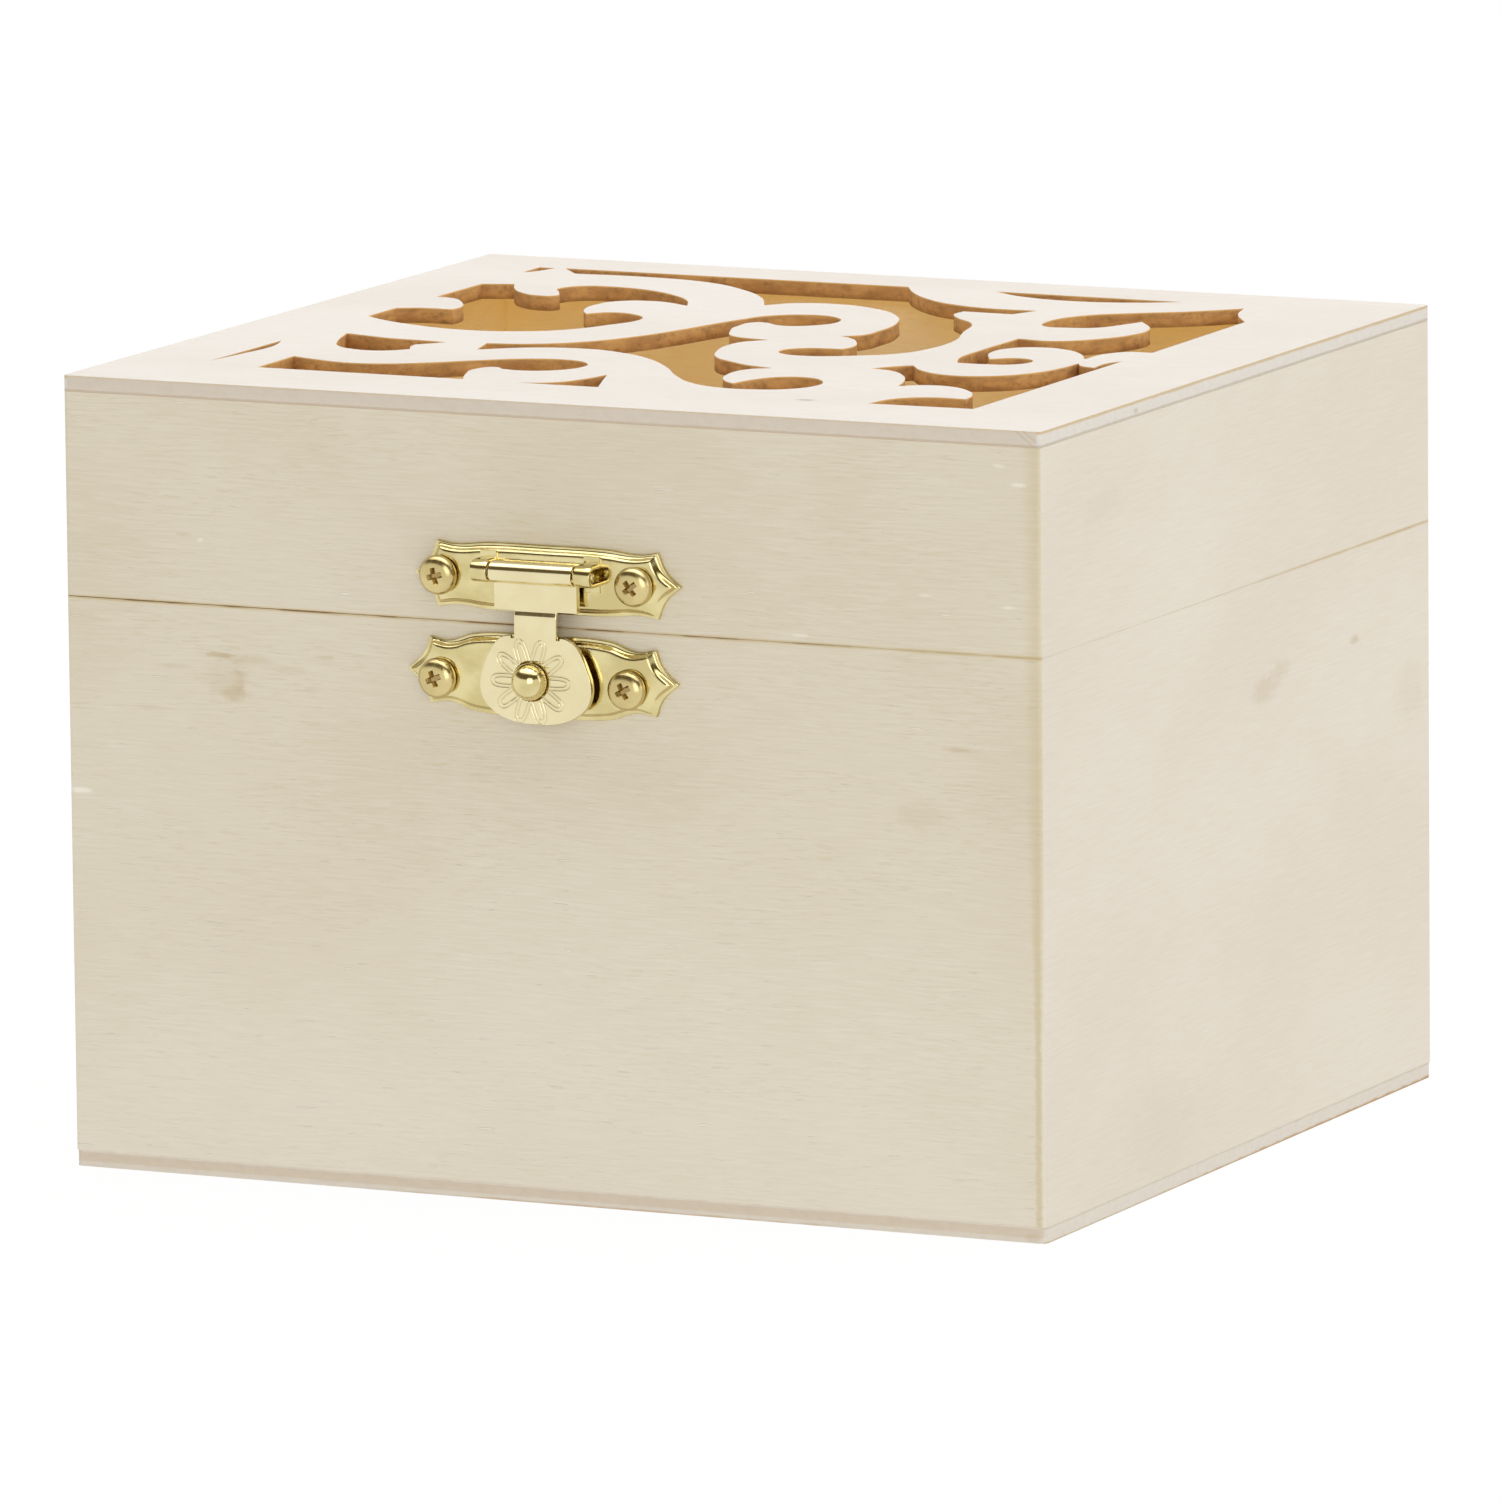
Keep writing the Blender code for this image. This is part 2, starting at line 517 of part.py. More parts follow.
def press_middle(mesh, plate):
    """Raises the middle of a flat plate and hollows its back, as a press does to a sheet."""
    bm = bmesh.new()
    bm.from_mesh(mesh)
    middle = PLATE_SHEET / 2
    flat = [face for face in bm.faces if abs(face.normal.z) > 1 / 2]
    front = [face for face in flat if face.calc_center_median().z > middle]
    back = [face for face in flat if face.calc_center_median().z < middle]
    step_in(bm, front, plate, 0, PLATE_RIM, PLATE_RAISE)
    step_in(bm, back, plate, 0, PLATE_SEAT, 0)
    step_in(bm, back, plate, PLATE_SEAT, PLATE_SEAT + PLATE_RIM, PLATE_RAISE)
    bm.to_mesh(mesh)
    bm.free()


def screw_places(plate):
    """World x of the plate's two screws, and their world z."""
    half = plate.screw_spacing / 2
    height = plate.z - plate.screw_drop
    return [("left", plate.screw_x - half, height), ("right", plate.screw_x + half, height)]


def make_clasp_plate(plate, parent=None):
    name = f"clasp_{plate.level}_plate"
    mesh = flat_mesh(name, [plate_outline(plate)], PLATE_SHEET, PLATE_CURVE_STEPS)
    press_middle(mesh, plate)
    obj = finish_piece(new_object(name, mesh, PARTS), PLATED)
    place(obj, (plate.x, FRONT_Y - GLUE_GAP, plate.z), FRONT_TURN, parent)
    holes = [(side, x, z, CLASP_SCREW_RADIUS) for side, x, z in screw_places(plate)]
    if plate.level == "lower":
        holes.append(("knob", KNOB_X, KNOB_Z, KNOB_STEM_RADIUS))
    else:
        add_straps(obj, HASP_X - plate.x, CLASP_PIN_Z - plate.z)
    for side, x, z, radius in holes:
        hole = cylinder_mesh(
            f"{name}_{side}_hole", radius + GLUE_GAP, -OVERRUN, PLATE_FACE + OVERRUN,
            across=x - plate.x, up=z - plate.z,
        )
        fit_tool(obj, hole, "DIFFERENCE")
    return obj


def fit_tool(obj, mesh, operation):
    """Cuts or joins with a helper that is drawn in the object's own directions."""
    tool = as_tool(new_object(mesh.name, mesh, TOOLS))
    tool.rotation_euler = obj.rotation_euler
    tool.location = obj.location
    tool.parent = obj.parent
    boolean(obj, tool, operation)
    return tool


def add_straps(obj, pin_across, pin_up):
    """Two loops of the upper plate that hold the pin, one on each side of the hasp's barrel."""
    inner = FLAP_WIDTH / 2 + TURNING_GAP
    outer = inner + STRAP_WIDTH
    pin_out = CLASP_PIN_OUT - GLUE_GAP
    root = PLATE_RAISE + PLATE_SHEET / 2
    low_y, high_y = pin_up - CLASP_BARREL_RADIUS - STRAP_FOOT, pin_up + CLASP_BARREL_RADIUS
    for side, low, high in (("left", -outer, -inner), ("right", inner, outer)):
        low_x, high_x = pin_across + low, pin_across + high
        web = block_mesh(f"strap_{side}_web", (low_x, low_y, root), (high_x, high_y, pin_out))
        fit_tool(obj, web, "UNION")
        loop = cylinder_mesh(
            f"strap_{side}_loop", CLASP_BARREL_RADIUS, low_x, high_x, across=pin_up, up=pin_out, along="X"
        )
        fit_tool(obj, loop, "UNION")
    bore = cylinder_mesh(
        "strap_bore", CLASP_BORE_RADIUS, pin_across - outer - OVERRUN, pin_across + outer + OVERRUN,
        across=pin_up, up=pin_out, along="X",
    )
    fit_tool(obj, bore, "DIFFERENCE")


def make_knob():
    """A ball on a riveted stem: its flange sits on the lower plate."""
    flange = KNOB_RADIUS * KNOB_FLANGE_SHARE
    flange_out = PLATE_FACE + GLUE_GAP
    turn = [math.radians(180) * row / BALL_ROWS for row in range(BALL_ROWS)]
    section = [(KNOB_RADIUS * math.sin(a), KNOB_OUT + KNOB_RADIUS * math.cos(a)) for a in turn]
    section = [point for point in section if point[1] > flange_out + GLUE_GAP]
    section += [(flange, flange_out + GLUE_GAP), (flange, flange_out), (KNOB_STEM_RADIUS, flange_out)]
    section += [(KNOB_STEM_RADIUS, GLUE_GAP), (0, GLUE_GAP)]
    obj = turned_object("clasp_catch_knob", section, PARTS, ROUND_STEPS)
    finish_piece(obj, PLATED)
    return place(obj, (KNOB_X, FRONT_Y, KNOB_Z), FRONT_TURN)


def make_clasp_pin(parent):
    half = FLAP_WIDTH / 2 + TURNING_GAP + STRAP_WIDTH
    mesh = cylinder_mesh("clasp_pin", CLASP_PIN_RADIUS, -half, half, along="X")
    obj = finish_piece(new_object("clasp_pin", mesh, PARTS), PLATED, smooth=True)
    return place(obj, (HASP_X, FRONT_Y - CLASP_PIN_OUT, CLASP_PIN_Z), FRONT_TURN, parent)


def paddle_outline(low, high):
    half = [(x * PADDLE_WIDTH / 2, low + y * (high - low), kind) for x, y, kind in PADDLE_HALF_SHARES]
    return half + [(-x, y, kind) for x, y, kind in reversed(half[1:])]


def make_hasp(parent):
    """Barrel, flap, sloping neck and paddle, drawn from the pin's axis."""
    knob_up = KNOB_Z - CLASP_PIN_Z
    paddle_top = knob_up + PADDLE_ABOVE_KNOB
    paddle_back = KNOB_OUT - HASP_SHEET / 2 - CLASP_PIN_OUT
    outline = paddle_outline(knob_up - PADDLE_BELOW_KNOB, paddle_top)
    mesh = flat_mesh("clasp_hasp", [outline], HASP_SHEET, PADDLE_CURVE_STEPS)
    mesh.transform(Matrix.Translation((0, 0, paddle_back)))
    obj = finish_piece(new_object("clasp_hasp", mesh, PARTS), PLATED)
    place(obj, (HASP_X, FRONT_Y - CLASP_PIN_OUT, CLASP_PIN_Z), FRONT_TURN, parent)
    half_flap, half_neck = FLAP_WIDTH / 2, NECK_WIDTH / 2
    flap_front = CLASP_BARREL_RADIUS
    flap_back = flap_front - HASP_SHEET
    neck_low, neck_high = paddle_top - HASP_SHEET, HASP_SHEET - FLAP_LENGTH
    neck = block_mesh("hasp_neck", (-half_neck, neck_low, flap_back), (half_neck, neck_high, flap_front))
    lean(neck, neck_low, neck_high, paddle_back - flap_back)
    fit_tool(obj, neck, "UNION")
    flap = block_mesh("hasp_flap", (-half_flap, -FLAP_LENGTH, flap_back), (half_flap, 0, flap_front))
    fit_tool(obj, flap, "UNION")
    barrel = cylinder_mesh("hasp_barrel", CLASP_BARREL_RADIUS, -half_flap, half_flap, along="X")
    fit_tool(obj, barrel, "UNION")
    bore = cylinder_mesh("hasp_bore", CLASP_BORE_RADIUS, -half_flap - OVERRUN, half_flap + OVERRUN, along="X")
    fit_tool(obj, bore, "DIFFERENCE")
    hole = cylinder_mesh(
        "hasp_knob_hole", KNOB_HOLE_RADIUS, paddle_back - OVERRUN, paddle_back + HASP_SHEET + OVERRUN,
        across=KNOB_X - HASP_X, up=knob_up,
    )
    fit_tool(obj, hole, "DIFFERENCE")
    return obj


def lean(mesh, low, high, shift):
    """Moves the lower end of an upright block by shift in z, and what lies above it in proportion."""
    for vertex in mesh.vertices:
        vertex.co.z += shift * (high - vertex.co.y) / (high - low)


def cross_mesh(name, head_radius, head_height, seat):
    """The cross recess of a screw: a square with an arm drawn out of each side."""
    half = head_radius * CROSS_WIDTH_SHARE / 2
    arm = head_radius * CROSS_LENGTH_SHARE / 2 - half
    bottom = seat + head_height * (1 - CROSS_DEPTH_SHARE)
    top = seat + head_height + OVERRUN
    bm = bmesh.new()
    bmesh.ops.create_cube(bm, size=1)
    bmesh.ops.scale(bm, vec=(2 * half, 2 * half, top - bottom), verts=bm.verts)
    sides = [face for face in bm.faces if abs(face.normal.z) < 1 / 2]
    for face in bmesh.ops.extrude_discrete_faces(bm, faces=sides)["faces"]:
        bmesh.ops.translate(bm, vec=face.normal * arm, verts=face.verts)
    bmesh.ops.translate(bm, vec=(0, 0, (top + bottom) / 2), verts=bm.verts)
    return mesh_from(name, bm)


def make_screw(name, sizes, seat, origin, turn, parent):
    """A screw whose head's underside is at seat, drawn with its head towards +z."""
    head_radius, head_height, radius, length = sizes
    section = [(share * head_radius, seat + up * head_height) for share, up in SCREW_HEAD_SHARES]
    section += [(radius, seat), (radius, seat - length * SCREW_STRAIGHT_SHARE)]
    section += [(radius * SCREW_TIP_SHARE, seat - length)]
    section += [(0, seat - length)]
    obj = turned_object(name, section, PARTS, SCREW_STEPS)
    finish_piece(obj, SCREW_METAL)
    place(obj, origin, turn, parent)
    fit_tool(obj, cross_mesh(f"{name}_cross", head_radius, head_height, seat), "DIFFERENCE")
    return obj


def pilot_hole(panel, name, sizes, seat, origin, turn, parent):
    """The blind hole that a screw turns into, with the gap that separate solids keep."""
    _, _, radius, length = sizes
    bottom = seat - length - GLUE_GAP
    mesh = cylinder_mesh(f"{name}_pilot", radius + GLUE_GAP, bottom, OVERRUN, steps=SCREW_STEPS)
    tool = as_tool(new_object(mesh.name, mesh, TOOLS))
    place(tool, origin, turn, parent)
    boolean(panel, tool, "DIFFERENCE")


CLASP_SCREW = (CLASP_SCREW_HEAD_RADIUS, CLASP_SCREW_HEAD_HEIGHT, CLASP_SCREW_RADIUS, CLASP_SCREW_LENGTH)
HINGE_SCREW = (HINGE_SCREW_HEAD_RADIUS, HINGE_SCREW_HEAD_HEIGHT, HINGE_SCREW_RADIUS, HINGE_SCREW_LENGTH)


def make_clasp_screws(plate, panel, parent=None):
    for side, x, z in screw_places(plate):
        name = f"clasp_{plate.level}_{side}_screw"
        origin = (x, FRONT_Y, z)
        make_screw(name, CLASP_SCREW, PLATE_FACE + GLUE_GAP, origin, FRONT_TURN, parent)
        pilot_hole(panel, name, CLASP_SCREW, PLATE_FACE + GLUE_GAP, origin, FRONT_TURN, parent)


def knuckle_spans(own):
    """Ends of the knuckles along the pin: a lower leaf has the outer two, an upper leaf the middle one."""
    pitch = KNUCKLE_LENGTH + TURNING_GAP
    for index in range(KNUCKLE_COUNT):
        if (index % 2 == 0) == (own == "lower"):
            low = -HINGE_LENGTH / 2 + index * pitch
            yield index, low, low + KNUCKLE_LENGTH


def make_leaf(side, own, x, panel, parent=None):
    """A leaf screwed flat on the back, with its knuckles round the pin's axis."""
    name = f"hinge_{side}_{own}_leaf"
    half = HINGE_LENGTH / 2
    down = -1 if own == "lower" else 1
    back, face = GLUE_GAP - HINGE_PIN_OUT, LEAF_FACE - HINGE_PIN_OUT
    edges = sorted((down * LEAF_START, down * (LEAF_START + LEAF_HEIGHT)))
    mesh = block_mesh(name, (-half, edges[0], back), (half, edges[1], face))
    obj = finish_piece(new_object(name, mesh, PARTS), PLATED)
    origin = (x, BACK_Y + HINGE_PIN_OUT, HINGE_PIN_Z)
    place(obj, origin, BACK_TURN, parent)
    for index, low, high in knuckle_spans(own):
        reach = sorted((0, down * (LEAF_START + FUSE_DEPTH)))
        tab = block_mesh(f"{name}_tab_{index}", (low, reach[0], back), (high, reach[1], face))
        fit_tool(obj, tab, "UNION")
        roll = cylinder_mesh(f"{name}_knuckle_{index}", HINGE_BARREL_RADIUS, low, high, along="X")
        fit_tool(obj, roll, "UNION")
    bore = cylinder_mesh(f"{name}_bore", HINGE_BORE_RADIUS, -half - OVERRUN, half + OVERRUN, along="X")
    fit_tool(obj, bore, "DIFFERENCE")
    add_leaf_screws(obj, name, down, x, panel, parent)
    return obj


def add_leaf_screws(leaf, name, down, x, panel, parent):
    up = down * LEAF_SCREW_DOWN
    for side, sign in (("a", -1), ("b", 1)):
        across = sign * HINGE_LENGTH * LEAF_SCREW_SPACING_SHARE / 2
        hole = cylinder_mesh(
            f"{name}_hole_{side}", HINGE_SCREW_RADIUS + GLUE_GAP, -HINGE_PIN_OUT, OVERRUN,
            across=across, up=up, steps=SCREW_STEPS,
        )
        fit_tool(leaf, hole, "DIFFERENCE")
        screw = f"{name}_screw_{side}"
        origin = (x - across, BACK_Y, HINGE_PIN_Z + up)
        make_screw(screw, HINGE_SCREW, LEAF_FACE + GLUE_GAP, origin, BACK_TURN, parent)
        pilot_hole(panel, screw, HINGE_SCREW, LEAF_FACE + GLUE_GAP, origin, BACK_TURN, parent)


def make_hinge(side, x, base_back, lid_back, lid_axis):
    make_leaf(side, "lower", x, base_back)
    make_leaf(side, "upper", x, lid_back, lid_axis)
    half = HINGE_LENGTH / 2
    mesh = cylinder_mesh(f"hinge_{side}_pin", HINGE_PIN_RADIUS, -half, half, along="X")
    pin = finish_piece(new_object(f"hinge_{side}_pin", mesh, PARTS), PLATED, smooth=True)
    place(pin, (x, BACK_Y + HINGE_PIN_OUT, HINGE_PIN_Z), BACK_TURN)


clear_scene()
PARTS = new_collection("wooden_box")
TOOLS = new_collection("cutters")

lid_axis = axis_empty("lid_axis", (0, BACK_Y + HINGE_PIN_OUT, HINGE_PIN_Z))
hasp_axis = axis_empty("hasp_axis", (HASP_X, FRONT_Y - CLASP_PIN_OUT, CLASP_PIN_Z), parent=lid_axis)

make_bottom()
base_front, base_back = make_walls("base", WALL_BOTTOM, SEAM_HEIGHT)
lid_front, lid_back = make_walls("lid", LID_BOTTOM, WALL_TOP, lid_axis)
make_fretwork(lid_axis)

make_clasp_plate(LOWER_PLATE)
make_clasp_plate(UPPER_PLATE, lid_axis)
make_clasp_screws(LOWER_PLATE, base_front)
make_clasp_screws(UPPER_PLATE, lid_front, lid_axis)
make_knob()
make_clasp_pin(lid_axis)
make_hasp(hasp_axis)

make_hinge("left", -HINGE_SPACING / 2, base_back, lid_back, lid_axis)
make_hinge("right", HINGE_SPACING / 2, base_back, lid_back, lid_axis)
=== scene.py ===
import math

import bmesh
import bpy
from mathutils import Matrix, Vector


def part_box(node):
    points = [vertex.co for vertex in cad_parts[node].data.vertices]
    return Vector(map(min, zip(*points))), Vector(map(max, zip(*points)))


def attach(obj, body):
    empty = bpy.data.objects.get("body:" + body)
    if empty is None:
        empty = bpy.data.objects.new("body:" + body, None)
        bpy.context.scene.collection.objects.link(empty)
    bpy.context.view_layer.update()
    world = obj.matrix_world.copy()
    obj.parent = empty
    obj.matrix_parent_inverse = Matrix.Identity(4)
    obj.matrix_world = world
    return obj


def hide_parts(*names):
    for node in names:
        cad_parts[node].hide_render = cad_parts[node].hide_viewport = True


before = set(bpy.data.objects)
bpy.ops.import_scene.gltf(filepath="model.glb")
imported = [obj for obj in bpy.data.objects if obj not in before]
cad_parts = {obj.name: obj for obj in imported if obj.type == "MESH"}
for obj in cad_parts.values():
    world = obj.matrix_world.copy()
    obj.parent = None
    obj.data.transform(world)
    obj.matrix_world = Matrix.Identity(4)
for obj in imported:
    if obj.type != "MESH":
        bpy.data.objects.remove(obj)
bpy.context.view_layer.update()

# Sizes and places taken from the solids
TOP_LOW, TOP_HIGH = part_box("fretwork_top_panel")
UNDER_LOW, UNDER_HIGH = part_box("bottom_panel")
FRONT_WALL_LOW, FRONT_WALL_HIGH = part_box("base_front_panel")
PIN_LOW, PIN_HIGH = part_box("clasp_pin")
KNOB_LOW, KNOB_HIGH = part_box("clasp_catch_knob")
HASP_LOW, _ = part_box("clasp_hasp")

BOX_WIDTH = TOP_HIGH.x - TOP_LOW.x
BOX_DEPTH = TOP_HIGH.y - TOP_LOW.y
BOX_HEIGHT = TOP_HIGH.z
FRONT_Y = TOP_LOW.y
BACK_Y = TOP_HIGH.y
SEAM_Z = FRONT_WALL_HIGH.z
WALL_PLY = FRONT_WALL_HIGH.y - FRONT_WALL_LOW.y
TOP_UNDERSIDE_Z = TOP_LOW.z
PIN_X = (PIN_LOW.x + PIN_HIGH.x) / 2
PIN_Z = (PIN_LOW.z + PIN_HIGH.z) / 2
PIN_OUT = FRONT_Y - (PIN_LOW.y + PIN_HIGH.y) / 2
PIN_RADIUS = (PIN_HIGH.z - PIN_LOW.z) / 2
KNOB_X = (KNOB_LOW.x + KNOB_HIGH.x) / 2
KNOB_Z = (KNOB_LOW.z + KNOB_HIGH.z) / 2
KNOB_RADIUS = (KNOB_HIGH.x - KNOB_LOW.x) / 2
KNOB_OUT = FRONT_Y - KNOB_LOW.y - KNOB_RADIUS

# The wood
WALL_CORNER_RADIUS = 0.0005
TOP_CORNER_RADIUS = 0.0005
UNDER_CORNER_RADIUS = 0.0009
BOARD_ARRIS = 0.00004
CORNER_STEPS = 5
ARRIS_STEPS = 2
SEAM_GAP_FRONT_RIGHT = 0.00001
SEAM_GAP_WIDENING_LEFT = 0.00007
SEAM_GAP_WIDENING_BACK = 0.00002
FRET_LEFT_MARGIN = 0.0102
FRET_RIGHT_MARGIN = 0.0136
FRET_FRONT_MARGIN = 0.0133
FRET_BACK_MARGIN = 0.0071
FRET_ARRIS = 0.00005
FRET_CURVE_STEPS = 10

# The clasp
CLASP_SHEET = 0.0005
PLATE_FLANGE = 0.0003
PLATE_SLOPE = 0.0007
PLATE_RAISE = 0.0007
PLATE_CROWN = 0.00012
PLATE_CROWN_WIDTH = 0.0012
PLATE_ARRIS = 0.00014
PLATE_CURVE_STEPS = 10
SLOPE_RINGS = 5
CROWN_RINGS = 4
BARREL_RADIUS = 0.00125
FLAP_WIDTH = 0.0102
FLAP_FOOT_Z = 0.0671
NECK_WIDTH = 0.0052
NECK_NOTCH = 0.00035
PADDLE_WIDTH = 0.0138
PADDLE_LENGTH = 0.0100
PADDLE_OUT = 0.0027
RIM_DEPTH = 0.0004
RIM_RUN = 0.0012
STEP_BACK = 0.0002
STEP_TURN = math.radians(20)
STEP_BEND_RADIUS = 0.0005
CREASE_RADIUS = 0.00035
BARREL_END_TURN = math.radians(235)
HASP_ARRIS = 0.00016
KNOB_HOLE_RADIUS = 0.0022
STRAP_WIDTH = 0.0020
STRAP_GAP = 0.00025
STRAP_SHEET = 0.00045
STRAP_FOOT = 0.0007
STRAP_FOOT_STAND = 0.00018
STRAP_BEND_RADIUS = 0.0003
STRAP_ARRIS = 0.0001
HOLE_MARGIN_SHARE = 1.2
PLATE_ARRIS_SHARE = 0.3
KNOB_FLANGE_SHARE = 0.78
KNOB_SHOULDER_SHARE = 0.8
KNOB_ROWS = 20
KNOB_STEPS = 64
PIN_END_SHARE = 0.7
PIN_DOME_SHARE = 0.3
PIN_STEPS = 24
SHEET_CURVE_STEPS = 8
BEND_STEP = math.radians(10)
STRAIGHT_TURN = 0.000001

# The hinges
LEAF_SHEET = 0.0006
LEAF_HEIGHT = 0.0085
LEAF_CORNER_RADIUS = 0.0008
LEAF_ARRIS = 0.0001
KNUCKLE_COUNT = 3
KNUCKLE_GAP = 0.0003
KNUCKLE_RADIUS = 0.0014
KNUCKLE_TURN = math.radians(290)

# The screws, on a head of radius and height 1
SCREW_SECTION = [
    (0.00, 1.00), (0.30, 0.985), (0.58, 0.93), (0.80, 0.80), (0.94, 0.58), (1.00, 0.30), (0.99, 0.08),
    (0.95, 0.00), (0.41, 0.00), (0.41, -3.00), (0.14, -3.80), (0.00, -3.80),
]
SCREW_STEPS = 48
CROSS_ARM = 0.58
CROSS_HALF_WIDTH = 0.19
CROSS_FLOOR = 0.42
CROSS_TAPER = 0.5
CROSS_SOFTENING = 0.02
CROSS_SOFTENING_STEPS = 2
CROSS_EDGE_ANGLE = math.radians(50)
RECESS_DEPTH = 0.05
RECESS_FLOOR = CROSS_FLOOR - 0.1
RECESS_REACH = 0.75
SCREW_LEAN = math.radians(2.5)
CLASP_SCREW_SEAT = 0.0015
CLASP_SCREW_HEAD = (0.00225, 0.0014)
LEAF_SCREW_HEAD = (0.0015, 0.0007)

WELD_DISTANCE = 0.000002
SMOOTH_ANGLE = math.radians(40)
SQUARE_EDGE_ANGLE = math.radians(60)
FLAT = 0.9999
FACING = 0.9
MM = 1000.0

ROUND = "AUTO"
CORNER = "VECTOR"

